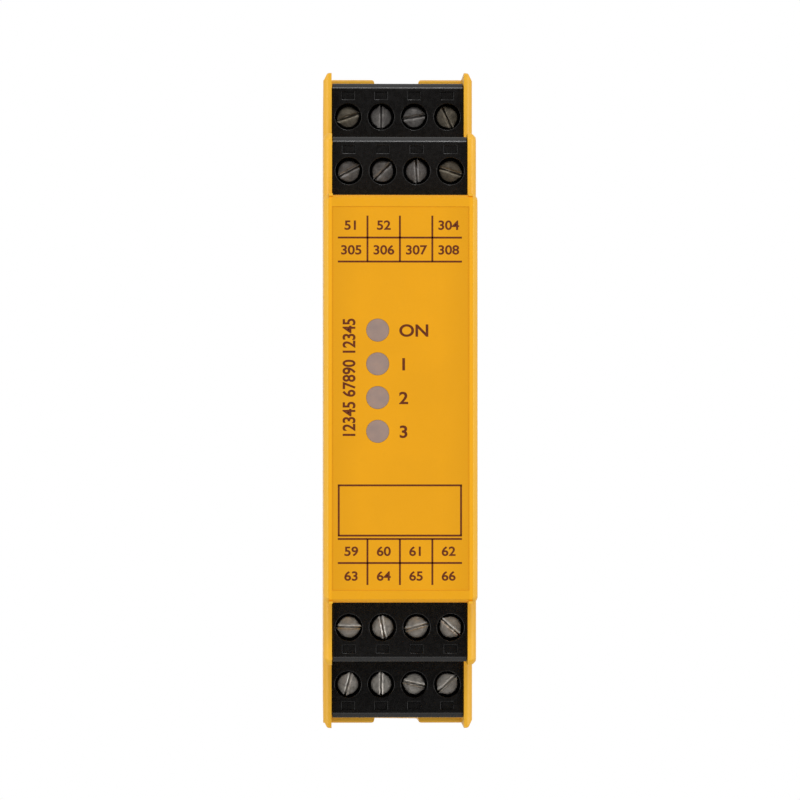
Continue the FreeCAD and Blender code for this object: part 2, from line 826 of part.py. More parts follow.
def pole_cavity():
    """What one pole takes out of the plug, around x = 0."""
    axis_z = -screw_inset
    well = rod(well_radius, -1, well_depth, 0, axis_z)
    hole = rod(ledge_hole_radius, -1, well_depth + well_floor + 1, 0, axis_z)
    chamber_half = cage_width / 2 + cage_side_fit
    chamber = box(-chamber_half, chamber_half, well_depth + well_floor, chamber_bottom,
                  -chamber_inner, -chamber_outer)
    tag = box(-tag_slot_width / 2, tag_slot_width / 2, -1, tag_slot_depth,
              -tag_slot_inset - tag_slot_height / 2, -tag_slot_inset + tag_slot_height / 2)
    entry = box(-entry_width / 2, entry_width / 2, entry_depth - entry_height / 2,
                entry_depth + entry_height / 2, -chamber_outer - 0.5, 1)
    funnel = frustum(entry_width / 2, entry_height / 2, -funnel_depth,
                     funnel_width / 2, funnel_height / 2, 0, entry_depth)
    leg_half = bar_width / 2 + contact_fit
    leg_slot = box(-leg_half, leg_half, bar_top - contact_fit, heel_top + bar_thickness + contact_fit,
                   -leg_inner - contact_fit, -chamber_inner)
    heel_slot = box(-leg_half, leg_half, heel_top - contact_fit, heel_top + bar_thickness + contact_fit,
                    -leg_inner - contact_fit, -pin_inset + leaf_height / 2 + contact_fit)
    leaf_half = pin_size / 2 + leaf_fit + leaf_thickness + contact_fit
    leaf_end = heel_top + bar_thickness + leaf_length + contact_fit
    leaf_slot = box(-leaf_half, leaf_half, heel_top, leaf_end,
                    -pin_inset - leaf_height / 2 - contact_fit, -pin_inset + leaf_height / 2 + contact_fit)
    pin_half = pin_size / 2 + pin_mouth_fit
    mouth = box(-pin_half, pin_half, leaf_end, plug_depth + tongue_length + 1,
                -pin_inset - pin_half, -pin_inset + pin_half)
    return [well, hole, chamber, tag, entry, funnel, leg_slot, heel_slot, leaf_slot, mouth]


def contacts(level, end):
    """The four current bars of one plug, each with two leaves around its header pin."""
    half = bar_width / 2
    heel_end = heel_top + bar_thickness
    bar = box(-half, half, bar_top, bar_top + bar_thickness, -leg_inner, -chamber_outer - cage_end_fit)
    leg = box(-half, half, bar_top, heel_end, -leg_inner, -chamber_inner)
    heel = box(-half, half, heel_top, heel_end, -leg_inner, -pin_inset + leaf_height / 2)
    pieces = [bar, leg, heel]
    for side in (-1, 1):
        x_in = side * (pin_size / 2 + leaf_fit)
        x_out = side * (pin_size / 2 + leaf_fit + leaf_thickness)
        pieces.append(box(min(x_in, x_out), max(x_in, x_out), heel_end, heel_end + leaf_length,
                          -pin_inset - leaf_height / 2, -pin_inset + leaf_height / 2))
    one = fused(pieces)
    return at_plug(Part.makeCompound([one.translated(V(x, 0, 0)) for x in pole_x]), level, end)


def clamp_screw(level, end, pole):
    """Captive slotted screw; its end bears on the contact bar and its thread lifts the cage."""
    top = head_sink
    under = head_sink + head_height
    tip = bar_top - shank_gap
    c = head_edge
    profile = [(0, top), (head_radius - c, top), (head_radius, top + c), (head_radius, under),
               (shank_radius, under), (shank_radius, tip - c), (shank_radius - c, tip), (0, tip)]
    points = [V(out, along, 0) for out, along in profile]
    body = Part.Face(Part.makePolygon(points + points[:1])).revolve(V(0, 0, 0), V(0, 1, 0), 360)
    burr = rod(burr_radius, top, top + burr_height).common(
        box(-burr_radius, burr_radius, top, top + burr_height, -burr_width / 2, burr_width / 2))
    reach = burr_radius + 1
    drive = box(-reach, reach, top - 1, top + drive_depth, -drive_width / 2, drive_width / 2)
    body = fused([body, burr]).cut(drive)
    body.rotate(V(0, 0, 0), V(0, 1, 0), -slot_angles[end + "_" + level][pole])
    z = ends[end] * (plug_outer[level] - screw_inset)
    body.translate(V(pole_x[pole], plug_face_y[level], z))
    return body


def clamp_cage(level, end, pole):
    """Rising clamp: a threaded plate with a stirrup that lifts the wire against the bar."""
    half = cage_width / 2
    z0 = -screw_inset - cage_length / 2
    z1 = -screw_inset + cage_length / 2
    block = box(-half, half, cage_top, cage_bottom, z0, z1)
    long_edges = edges_where(block, lambda p: near(p.y, cage_bottom))
    long_edges = [e for e in long_edges if near(e.Vertexes[0].X, e.Vertexes[1].X)]
    block = block.makeFillet(cage_round, long_edges)
    window = box(-half + cage_side, half - cage_side, cage_top + cage_plate, cage_bottom - cage_floor,
                 z0 - 1, z1 + 1)
    bore = rod(shank_radius + cage_bore_fit, cage_top - 1, cage_top + cage_plate + 1, 0, -screw_inset)
    body = block.cut(Part.makeCompound([window, bore]))
    moved = at_plug(body, level, end)
    moved.translate(V(pole_x[pole], 0, 0))
    return moved


def main():
    os.makedirs("parts", exist_ok=True)
    save(rear_housing(), "rear_housing")
    save(upper_housing(), "upper_housing")
    save(front_cover(), "front_cover")
    save(label_plate(), "label_plate")
    save(light_guide(), "light_guide")
    save(indicator_leds(), "indicator_leds")
    save(circuit_board(), "circuit_board")
    save(relay(1), "relay_k1")
    save(relay(-1), "relay_k2")
    save(transformer_core(), "transformer_core")
    save(transformer_coil(), "transformer_coil")
    save(capacitor(), "capacitor")
    save(header_pins(), "header_pins")
    save(foot_catch(), "foot_catch")
    save(foot_spring(), "foot_spring")
    for end in ends:
        for level in plug_face_y:
            place = end + "_" + level
            save(pin_header(level, end), "header_" + place)
            save(plug(level, end), "plug_" + place)
            save(contacts(level, end), "contacts_" + place)
            for pole in range(pole_count):
                number = "_" + str(pole + 1)
                save(clamp_screw(level, end, pole), "screw_" + place + number)
                save(clamp_cage(level, end, pole), "cage_" + place + number)


main()
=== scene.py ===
"""Looks of the safety relay: housings, printed label, lamps, plugs, screws, board and studio.

Metres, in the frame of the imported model: +Z is up, and the front looks along -Y.
"""
import json
import math
import random

import bmesh
import bpy
from bpy.props import FloatProperty, FloatVectorProperty, IntProperty, PointerProperty
from mathutils import Matrix, Vector

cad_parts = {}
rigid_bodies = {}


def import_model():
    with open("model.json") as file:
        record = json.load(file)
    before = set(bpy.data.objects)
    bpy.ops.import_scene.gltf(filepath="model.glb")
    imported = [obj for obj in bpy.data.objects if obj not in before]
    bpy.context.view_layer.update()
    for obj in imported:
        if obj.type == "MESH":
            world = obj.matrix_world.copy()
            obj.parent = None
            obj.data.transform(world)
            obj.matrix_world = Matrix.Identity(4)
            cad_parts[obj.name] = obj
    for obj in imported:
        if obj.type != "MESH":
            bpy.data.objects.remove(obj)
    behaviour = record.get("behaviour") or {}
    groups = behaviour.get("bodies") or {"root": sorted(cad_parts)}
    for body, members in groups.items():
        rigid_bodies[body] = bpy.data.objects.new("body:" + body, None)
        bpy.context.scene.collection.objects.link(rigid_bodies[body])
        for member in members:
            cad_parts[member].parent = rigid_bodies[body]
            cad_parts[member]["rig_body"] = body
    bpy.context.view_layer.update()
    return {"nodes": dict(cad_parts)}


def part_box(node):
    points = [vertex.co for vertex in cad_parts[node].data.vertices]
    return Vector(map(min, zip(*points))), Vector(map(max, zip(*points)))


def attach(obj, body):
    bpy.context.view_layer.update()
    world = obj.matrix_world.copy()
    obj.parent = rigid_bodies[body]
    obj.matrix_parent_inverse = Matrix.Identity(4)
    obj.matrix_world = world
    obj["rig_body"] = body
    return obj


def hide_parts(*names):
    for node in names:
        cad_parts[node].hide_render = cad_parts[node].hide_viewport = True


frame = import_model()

bl_info = {
    "name": "Safety Relay Dresser",
    "version": (1, 0, 0),
    "blender": (4, 5, 0),
    "location": "View3D > Sidebar > Relay",
    "description": "Finishes the pieces of a rail-mounted safety relay and lights them in a studio",
    "category": "Object",
}

MM = 0.001
PLACES = [end + "_" + level for end in ("top", "bottom") for level in ("rear", "front")]
POLES = (1, 2, 3, 4)
STAINED = ("top_rear_1", "top_rear_4", "top_front_4")
QUARTER = math.radians(90.0)
UPRIGHT = Matrix.Rotation(QUARTER, 4, "X")

# Reading of the CAD meshes: what is one point, one plane, a sharp edge and an edge to round.
WELD = 0.001 * MM
FLAT = math.radians(0.5)
SHARP = math.radians(30.0)
CREASE = math.radians(40.0)
OUTERMOST = 0.01 * MM
ON_PLANE = 0.08 * MM
SHORTEST = 2.2
LARGEST_ROUND = 0.5 * MM

# Edges of the housing that have a rounding of their own.
CHAMFER = 0.6 * MM
FACE_DEPTH = 0.3 * MM
REAR_MARGIN = 1.0 * MM
SIDE_MARGIN = 0.1 * MM
WALL_MARGIN = 0.3 * MM

# Fillings at the ends of the rebate: from where to where past the cover, and how deep.
CORNER_ACROSS = (-0.55 * MM, 0.05 * MM)
CORNER_ALONG = (0.01 * MM, 0.35 * MM)
CORNER_DEPTH = 2.0 * MM

# Digits of the built-in font: their height at size 1, and how much wider and bolder they get.
DIGIT_HEIGHT = 0.729
DIGIT_STRETCH = 1.12
DIGIT_BOLD = 0.03

# Where the print lies, from the plate's middle and ends, the tables and the print's middle.
PRINT_LEFT = 0.11 * MM
UPPER_TABLE = 7.99 * MM
LOWER_TABLE = 7.47 * MM
FIELD_DROP = 0.49 * MM
OPEN_ROW_MIDDLE = 0.53
LAMP_MARK_LEFT = 0.15 * MM
SIDE_DIGITS_LEFT = 7.48 * MM
SIDE_DIGITS_UP = 2.93 * MM
SIDE_STRETCH = 0.86

# Uneven shape of a screw's slot, in metres or as shares of its size.
CUTS = 5
CUT_PITCH = 0.3 * MM
CUT_WANDER = 0.04 * MM
LIP_WANDER = 0.05 * MM
LOWEST_LIP = 0.45
SHORTEST_EAR = 0.5
EAR_START = 0.75
EAR_FULLNESS = 1.4
SLOT_ROUND = 0.07 * MM

# Under the slot: radii of the head and the tip, and the lengths that the thread leaves bare.
HEAD_ROUND = 0.1 * MM
TIP_ROUND = 0.15 * MM
BARE_NECK = 0.5 * MM
BARE_TIP = 0.2 * MM

# Each lamp's name, place, size and the setting of its power, and where the camera aims.
LAMPS = (
    ("upper lamp", (0.10, -0.80, 0.70), 0.2, "key_power"),
    ("lower lamp", (-0.15, -0.75, -0.62), 0.4, "low_power"),
    ("left lamp", (-0.75, -0.72, 0.06), 0.6, "side_power"),
    ("right lamp", (0.78, -0.70, 0.04), 0.6, "side_power"),
)
AIM_LEFT = 0.10 * MM
AIM_DROP = 0.23 * MM


def length(name, description, default):
    """A distance, given in millimetres and kept in metres."""
    return FloatProperty(name=name, description=description, default=default * MM, unit="LENGTH",
                         subtype="DISTANCE", precision=6, min=0.0)


def number(name, description, default, unit="NONE"):
    return FloatProperty(name=name, description=description, default=default, unit=unit, min=0.0)


def count(name, description, default):
    return IntProperty(name=name, description=description, default=default, min=8)


def colour(name, description, default):
    return FloatVectorProperty(name=name, description=description, default=default, size=3,
                               subtype="COLOR", min=0.0, max=1.0)


def share(name, description, default):
    return FloatProperty(name=name, description=description, default=default, subtype="FACTOR",
                         min=0.0, max=1.0)


class RelayHousingSettings(bpy.types.PropertyGroup):
    edge_round: length("Edge round", "Radius of the moulded edges", 0.12)
    seam_round: length("Seam round", "Radius of the edges along the seams", 0.01)
    rim_round: length("Rim round", "Radius along the outer chamfers and end walls", 0.27)
    narrow_round: length("Narrow round", "Radius of the narrow edges beside the cover", 0.06)
    # The hood and base are a separate moulding from the cover; their lighter colour is partly
    # painted light, standing in for the stronger light on the side walls.
    plastic: colour("Housing", "Colour of the hood and the base", (0.965, 0.497, 0.010))
    cover: colour("Cover", "Colour of the front cover", (0.87, 0.395, 0.005))
    # Painted light: how much brighter the cover's narrow rim beside the label is made, standing in
    # for the stronger light on it and making up for the shade of its seams.
    rim_tone: number("Rim tone", "Tone of the cover beside the label", 1.1)
    # Painted shade: how dark the label is made towards its left and right edges, where the recess
    # shades it.
    film_tone: number("Film tone", "Tone of the label at its sides", 0.92)
    film: colour("Label", "Colour of the label plate", (0.86, 0.381, 0.004))
    roughness: share("Roughness", "Roughness of the moulded skin", 0.42)
    grain: length("Grain", "Width of a grain of the texture", 0.14)
    grain_depth: length("Grain depth", "Depth of the texture", 0.004)
    cover_growth: length("Cover growth", "How far the cover grows into its seams", 0.045)
    label_growth: length("Label growth", "How far the label grows into its seams", 0.035)


class RelayPrintSettings(bpy.types.PropertyGroup):
    ink: colour("Ink", "Colour of the print", (0.115, 0.022, 0.002))
    ink_height: length("Ink height", "Thickness of the printed ink", 0.012)
    line_width: length("Line width", "Width of the table lines", 0.27)
    table_half: length("Table half width", "Half width of a terminal table", 9.05)
    column_pitch: length("Column pitch", "Distance between the columns of a table", 4.73)
    row_height: length("Row height", "Height of one row of a table", 3.5)
    open_height: length("Open height", "Length of the column lines in the open row", 3.2)
    table_digit: length("Table digit", "Height of the digits in the tables", 1.36)
    lamp_digit: length("Lamp digit", "Height of the marks beside the lamps", 1.8)
    side_digit: length("Side digit", "Height of the digits that run up the side", 1.85)
    field_height: length("Field height", "Height of the empty frame", 7.32)


class RelayPlugSettings(bpy.types.PropertyGroup):
    edge_round: length("Edge round", "Radius of the moulded edges", 0.09)
    rim_round: length("Rim round", "Radius between the face and its outer chamfer", 0.3)
    spring_wire: length("Spring wire", "Thickness of the foot spring's wire", 0.45)
    spring_turns: number("Spring turns", "Turns in each half of the foot spring", 3.5)
    spring_steps: count("Spring steps", "Steps in one turn of the spring", 28)
    tag_width: length("Tag width", "Width of a blank marker tag", 1.82)
    tag_height: length("Tag height", "Height of a blank marker tag", 1.07)
    tag_depth: length("Tag depth", "Depth of a blank marker tag", 1.1)
    tag_round: length("Tag round", "Radius of a tag's edges", 0.06)
    tag_inset: length("Tag inset", "From the outer side of a plug to the middle of its tags", 1.85)
    tag_sink: length("Tag sink", "How far a tag lies below the face of its plug", 0.16)
    plastic: colour("Plug", "Colour of the plugs and the foot", (0.0078, 0.0071, 0.0068))
    roughness: share("Roughness", "Roughness of the moulded skin", 0.26)


class RelayScrewSettings(bpy.types.PropertyGroup):
    head_radius: length("Head radius", "Radius of the screw head", 1.6)
    head_height: length("Head height", "Height of the screw head", 1.6)
    rim_round: length("Rim round", "Radius of the head's rim", 0.16)
    slot_width: length("Slot width", "Width of the slot", 0.3)
    slot_depth: length("Slot depth", "Depth of the slot", 0.5)
    lip_width: length("Lip width", "Width of the burred lip along the slot", 0.36)
    lip_height: length("Lip height", "Height of the burred lip over the head", 0.12)
    ear_reach: length("Ear reach", "How far the lip's ends stand out over the head", 0.3)
    ear_width: length("Ear width", "Length of rim that a burred end takes up", 0.38)
    root_radius: length("Root radius", "Radius at the bottom of the thread", 0.86)
    crest_radius: length("Crest radius", "Radius at the top of the thread", 1.09)
    pitch: length("Pitch", "Advance of the thread in one turn", 0.5)
    rim_steps: count("Rim steps", "Sides of the head's circle", 64)
    shank_steps: count("Shank steps", "Sides of the shank's circle", 28)
    # Painted shade and painted reflection: the upper screws get a dark steel and the lower ones a
    # far lighter one, standing in for the light they catch; the stained steel is real staining.
    dull: colour("Dull steel", "Colour of the upper screws", (0.162, 0.153, 0.146))
    stained: colour("Stained steel", "Colour of the stained screws", (0.138, 0.122, 0.096))
    bright: colour("Bright steel", "Colour of the lower screws", (0.505, 0.477, 0.435))


class RelayStudioSettings(bpy.types.PropertyGroup):
    distance: length("Distance", "From the camera to the front of the relay", 600.0)
    left: length("Left", "How far the camera stands to the left", 12.0)
    drop: length("Drop", "How far the camera stands below the middle", 7.3)
    lens: number("Lens", "Focal length", 185.3, "CAMERA")
    fill: number("Fill", "Strength of the surrounding light", 0.5)
    key_power: number("Key", "Power of the upper lamp", 2.3, "POWER")
    side_power: number("Side", "Power of each side lamp", 2.0, "POWER")
    low_power: number("Low", "Power of the lower lamp", 1.0, "POWER")
    flag_radius: length("Flag radius", "Radius of the black flag behind the camera", 550.0)
    flag_place: length("Flag place", "From the front of the relay to the flag", 690.0)
    floor_drop: length("Floor drop", "How far the floor lies below the middle", 100.0)
    floor_radius: length("Floor radius", "Radius of the round floor", 250.0)


def filled(node, values):
    """Fills in inputs of a node, given by their names."""
    for name, value in values.items():
        node.inputs[name].default_value = value
    return node


def scaled(tint, amount):
    """A colour times a number, cut off at white."""
    return tuple(min(1.0, channel * amount) for channel in tint)


class Recipe:
    """A material in the making: its nodes, its shader and the Object coordinates."""

    def __init__(self, name, values):
        self.material = bpy.data.materials.new(name)
        self.material.use_nodes = True
        self.nodes = self.material.node_tree.nodes
        self.link = self.material.node_tree.links.new
        self.shader = filled(self.nodes["Principled BSDF"], values)
        self.place = self.nodes.new("ShaderNodeTexCoord").outputs["Object"]

    def noise(self, size, detail=2.0, roughness=0.5, distortion=0.0, vector=None):
        """Noise whose lumps are about size metres wide."""
        node = filled(self.nodes.new("ShaderNodeTexNoise"), {
            "Scale": 1.0 / size, "Detail": detail, "Roughness": roughness,
            "Distortion": distortion})
        self.link(self.place if vector is None else vector, node.inputs["Vector"])
        return node.outputs["Fac"]

    def bands(self, axis, values):
        """Waves in bands along one axis."""
        node = filled(self.nodes.new("ShaderNodeTexWave"), values)
        node.bands_direction = axis
        self.link(self.place, node.inputs["Vector"])
        return node.outputs["Fac"]

    def moved(self, name, value):
        """The Object coordinates through a mapping with one input set."""
        node = filled(self.nodes.new("ShaderNodeMapping"), {name: value})
        self.link(self.place, node.inputs["Vector"])
        return node.outputs["Vector"]

    def part(self, vector, axis):
        """One coordinate of a vector."""
        node = self.nodes.new("ShaderNodeSeparateXYZ")
        self.link(vector, node.inputs["Vector"])
        return node.outputs[axis]

    def computed(self, operation, *values):
        """The result of one operation on sockets."""
        node = self.nodes.new("ShaderNodeMath")
        node.operation = operation
        for socket, value in zip(node.inputs, values):
            self.link(value, socket)
        return node.outputs["Value"]

    def spread(self, factor, low=0.0, high=1.0, start=0.3, end=0.7):
        """Maps a factor from start..end to low..high."""
        node = filled(self.nodes.new("ShaderNodeMapRange"), {
            "From Min": start, "From Max": end, "To Min": low, "To Max": high})
        self.link(factor, node.inputs["Value"])
        return node.outputs["Result"]

    def blended(self, factor, first, second):
        """Colour between two by a factor; each may be a colour or a socket."""
        node = self.nodes.new("ShaderNodeMix")
        node.data_type = "RGBA"
        self.link(factor, node.inputs[0])
        for socket, value in ((node.inputs[6], first), (node.inputs[7], second)):
            if isinstance(value, bpy.types.NodeSocket):
                self.link(value, socket)
            else:
                socket.default_value = (*value, 1.0)
        return node.outputs[2]

    def paint(self, factor, first, second):
        """Gives the shader a colour between two."""
        self.drive("Base Color", self.blended(factor, first, second))

    def bumped(self, height, depth, strength=1.0, under=None):
        """Adds a bump of a height pattern, over another one if given."""
        node = filled(self.nodes.new("ShaderNodeBump"), {
            "Distance": depth, "Strength": strength})
        self.link(height, node.inputs["Height"])
        if under is not None:
            self.link(under, node.inputs["Normal"])
        self.drive("Normal", node.outputs["Normal"])
        return node.outputs["Normal"]

    def drive(self, name, socket):
        """Lets a socket give an input of the shader."""
        self.link(socket, self.shader.inputs[name])


def moulded_plastic(name, tint, roughness, grain, depth, mottle=0.04, specular=0.4, sides=None):
    """Moulded plastic with a spark-eroded skin, faint flow clouds and small scuffs.

    sides holds where a painted change of tone towards the sides starts and ends, and how much it
    is: painted light where the tone is above 1, painted shade where it is below 1.
    """
    mix = Recipe(name, {"Specular IOR Level": specular})
    cloud = mix.noise(9.0 * MM, 3.0, 0.55, 0.3)
    speck = mix.noise(0.6 * MM)
    skin = mix.noise(grain, 3.0, 0.6)
    flow = mix.blended(mix.spread(cloud), scaled(tint, 1.0 - mottle), scaled(tint, 1.0 + mottle))
    scuffs = mix.spread(speck, 0.0, 0.35, 0.55, 0.8)
    base = mix.blended(scuffs, flow, scaled(tint, 1.0 - 2.0 * mottle))
    # Painted light or painted shade towards the sides, by the tone given: brighter above 1, darker
    # below 1.
    if sides is not None:
        start, end, tone = sides
        away = mix.computed("ABSOLUTE", mix.part(mix.place, "X"))
        base = mix.blended(mix.spread(away, 0.0, 1.0, start, end), base, scaled(tint, tone))
    mix.drive("Base Color", base)
    mix.drive("Roughness", mix.spread(speck, roughness - 0.05, roughness + 0.07))
    under = mix.bumped(cloud, 0.02 * MM, 0.5)
    mix.bumped(skin, depth, 1.0, under)
    return mix.material


def printed_ink(tint):
    """Screen-printed ink, a little thinner here and there."""
    mix = Recipe("label ink", {"Roughness": 0.5, "Specular IOR Level": 0.3})
    speck = mix.noise(0.25 * MM)
    mix.paint(mix.spread(speck), tint, scaled(tint, 1.5))
    mix.bumped(speck, 0.002 * MM)
    return mix.material


def milky_window():
    """Milky acrylic of the light guide, with the dark inside showing through."""
    mix = Recipe("milky acrylic", {
        "Roughness": 0.38, "Specular IOR Level": 0.3, "Subsurface Weight": 0.15,
        "Subsurface Radius": (0.001, 0.0008, 0.0007)})
    cloud = mix.noise(1.4 * MM, 3.0)
    mix.paint(mix.spread(cloud), (0.335, 0.245, 0.215), (0.395, 0.275, 0.225))
    mix.bumped(cloud, 0.01 * MM)
    return mix.material


def turned_steel(name, tint, roughness):
    """Plated screw steel: turning rings round its own axis, tool marks, and matt stains."""
    mix = Recipe(name, {"Metallic": 1.0})
    around = mix.nodes.new("ShaderNodeUVMap")
    around.uv_map = "turned"
    rings = filled(mix.nodes.new("ShaderNodeTexWave"), {
        "Scale": 3.2, "Distortion": 0.6, "Detail": 2.0})
    rings.wave_type = "RINGS"
    rings.rings_direction = "SPHERICAL"
    mix.link(around.outputs["UV"], rings.inputs["Vector"])
    stain = mix.noise(1.1 * MM, 4.0, 0.6, 0.5)
    pit = mix.noise(0.18 * MM, 3.0, 0.65)
    mix.paint(mix.spread(stain, 0.0, 1.0, 0.35, 0.65), scaled(tint, 0.62), scaled(tint, 1.3))
    mix.drive("Roughness", mix.spread(stain, roughness + 0.12, roughness - 0.08))
    under = mix.bumped(rings.outputs["Fac"], 0.012 * MM, 0.6)
    mix.bumped(pit, 0.02 * MM, 0.7, under)
    return mix.material


def worked_metal(name, tint, roughness, streak=(1.0, 1.0, 1.0)):
    """Plated sheet or wire, drawn along one direction, with faint stains."""
    mix = Recipe(name, {"Metallic": 1.0})
    drawn = mix.noise(0.2 * MM, 3.0, 0.6, vector=mix.moved("Scale", streak))
    stain = mix.noise(2.5 * MM, 3.0)
    mix.paint(mix.spread(stain), scaled(tint, 0.8), scaled(tint, 1.15))
    mix.drive("Roughness", mix.spread(drawn, roughness - 0.08, roughness + 0.1))
    mix.bumped(drawn, 0.01 * MM)
    return mix.material


def solder_resist():
    """Green board: copper tracks under the resist, and the weave of the laminate."""
    mix = Recipe("solder resist", {"Roughness": 0.3})
    tracks = filled(mix.nodes.new("ShaderNodeTexBrick"), {
        "Scale": 1.0, "Brick Width": 7.5 * MM, "Row Height": 1.7 * MM, "Mortar Size": 0.28 * MM,
        "Mortar Smooth": 0.3, "Color1": (0.0, 0.0, 0.0, 1.0), "Color2": (0.15, 0.15, 0.15, 1.0),
        "Mortar": (1.0, 1.0, 1.0, 1.0)})
    mix.link(mix.moved("Rotation", (0.0, QUARTER, QUARTER)), tracks.inputs["Vector"])
    weave = mix.noise(0.5 * MM)
    resist = mix.blended(mix.spread(weave), (0.008, 0.075, 0.025), (0.012, 0.10, 0.035))
    mix.paint(tracks.outputs["Color"], resist, (0.03, 0.21, 0.07))
    under = mix.bumped(tracks.outputs["Color"], 0.03 * MM)
    mix.bumped(weave, 0.01 * MM, 0.5, under)
    return mix.material


def laminated_steel():
    """Stack of transformer sheets, seen on its edges."""
    mix = Recipe("laminated steel", {"Metallic": 0.85})
    sheets = mix.bands("X", {"Scale": 314.0, "Distortion": 0.4})
    varnish = mix.noise(3.0 * MM, 3.0)
    mix.paint(sheets, (0.05, 0.05, 0.055), (0.30, 0.30, 0.32))
    mix.drive("Roughness", mix.spread(varnish, 0.35, 0.6))
    mix.bumped(sheets, 0.06 * MM)
    return mix.material


def taped_winding():
    """Amber tape over a copper winding."""
    mix = Recipe("taped winding", {"Roughness": 0.32})
    turns = mix.bands("Z", {"Scale": 700.0, "Distortion": 1.5, "Detail Scale": 40.0})
    cloud = mix.noise(4.0 * MM, 3.0)
    mix.paint(mix.spread(cloud), (0.42, 0.17, 0.03), (0.62, 0.29, 0.07))
    mix.bumped(turns, 0.04 * MM)
    return mix.material


def shrunk_sleeve():
    """Dark sleeve of the capacitor with its pale stripe."""
    mix = Recipe("shrunk sleeve", {"Roughness": 0.3})
    middle = sum(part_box("capacitor"), Vector()) / 2.0
    across = mix.part(mix.moved("Location", -middle), "Y")
    stripe = mix.spread(across, 1.0, 0.0, -4.7 * MM, -4.3 * MM)
    wrinkle = mix.noise(1.5 * MM, 3.0)
    dark = mix.blended(mix.spread(wrinkle), (0.02, 0.028, 0.07), (0.035, 0.048, 0.11))
    mix.paint(stripe, dark, (0.5, 0.52, 0.55))
    mix.bumped(wrinkle, 0.04 * MM)
    return mix.material


def lies_on(edge, planes):
    """Whether an edge lies on one of the planes, given as axis and distance from the middle."""
    return any(all(abs(abs(vertex.co[axis]) - distance) < ON_PLANE for vertex in edge.verts)
               for axis, distance in planes)


def softened(node, radius, special=(), growth=(0.0, 0.0, 0.0)):
    """A copy of a CAD node's mesh, its facets merged, with a rounding set for each sharp edge.

    special holds pairs of a test and the radius for the edges that pass it. growth moves the
    outermost faces outwards, so that only a hairline seam is left round the piece.
    """
    mesh = bmesh.new()
    mesh.from_mesh(frame["nodes"][node].data)
    bmesh.ops.remove_doubles(mesh, verts=mesh.verts[:], dist=WELD)
    bmesh.ops.dissolve_limit(mesh, angle_limit=FLAT, use_dissolve_boundaries=False,
                             verts=mesh.verts[:], edges=mesh.edges[:], delimit=set())
    low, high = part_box(node)
    for vertex in mesh.verts:
        for axis, amount in enumerate(growth):
            if vertex.co[axis] > high[axis] - OUTERMOST:
                vertex.co[axis] += amount
            elif vertex.co[axis] < low[axis] + OUTERMOST:
                vertex.co[axis] -= amount
    weight = mesh.edges.layers.float.new("bevel_weight_edge")
    for edge in mesh.edges:
        edge.smooth = len(edge.link_faces) != 2 or edge.calc_face_angle() < SHARP
        if not edge.smooth:
            size = next((size for test, size in special if test(edge)), radius)
            if edge.calc_length() > SHORTEST * size:
                edge[weight] = size / LARGEST_ROUND
                edge.smooth = True
    for face in mesh.faces:
        face.smooth = True
    return mesh


def rounded(mesh, edges, radius, segments=2, clamp=False):
    """Rounds edges of a new mesh."""
    bmesh.ops.bevel(mesh, geom=edges, offset=radius, offset_type="OFFSET", segments=segments,
                    profile=0.5, affect="EDGES", clamp_overlap=clamp, material=-1)


def shaded(mesh):
    """Marks the sharp edges of a new mesh and smooths the rest."""
    for edge in mesh.edges:
        edge.smooth = len(edge.link_faces) != 2 or edge.calc_face_angle() < CREASE
    for face in mesh.faces:
        face.smooth = True
    return mesh


def finished(name, mesh, body, materials, replaced=()):
    """Makes a piece of a bmesh, rounds its weighted edges, and lets it ride on its body."""
    weighted = "bevel_weight_edge" in mesh.edges.layers.float
    data = bpy.data.meshes.new(name)
    mesh.to_mesh(data)
    mesh.free()
    for material in materials:
        data.materials.append(material)
    piece = bpy.data.objects.new(name, data)
    bpy.context.scene.collection.objects.link(piece)
    if weighted:
        bevel = piece.modifiers.new("Moulded edges", "BEVEL")
        bevel.limit_method = "WEIGHT"
        bevel.width = LARGEST_ROUND
        bevel.segments = 2
        bevel.use_clamp_overlap = False
    shading = piece.modifiers.new("Even shading", "WEIGHTED_NORMAL")
    shading.keep_sharp = True
    shading.weight = 90
    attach(piece, body)
    if replaced:
        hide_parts(*replaced)
    return piece


def body_of(node):
    """The body that a CAD node rides on."""
    return frame["nodes"][node]["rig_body"]


def dressed(node, name, radius, material, special=(), growth=(0.0, 0.0, 0.0)):
    """A softened copy of one CAD node in its place."""
    mesh = softened(node, radius, special, growth)
    return finished(name, mesh, body_of(node), [material], [node])


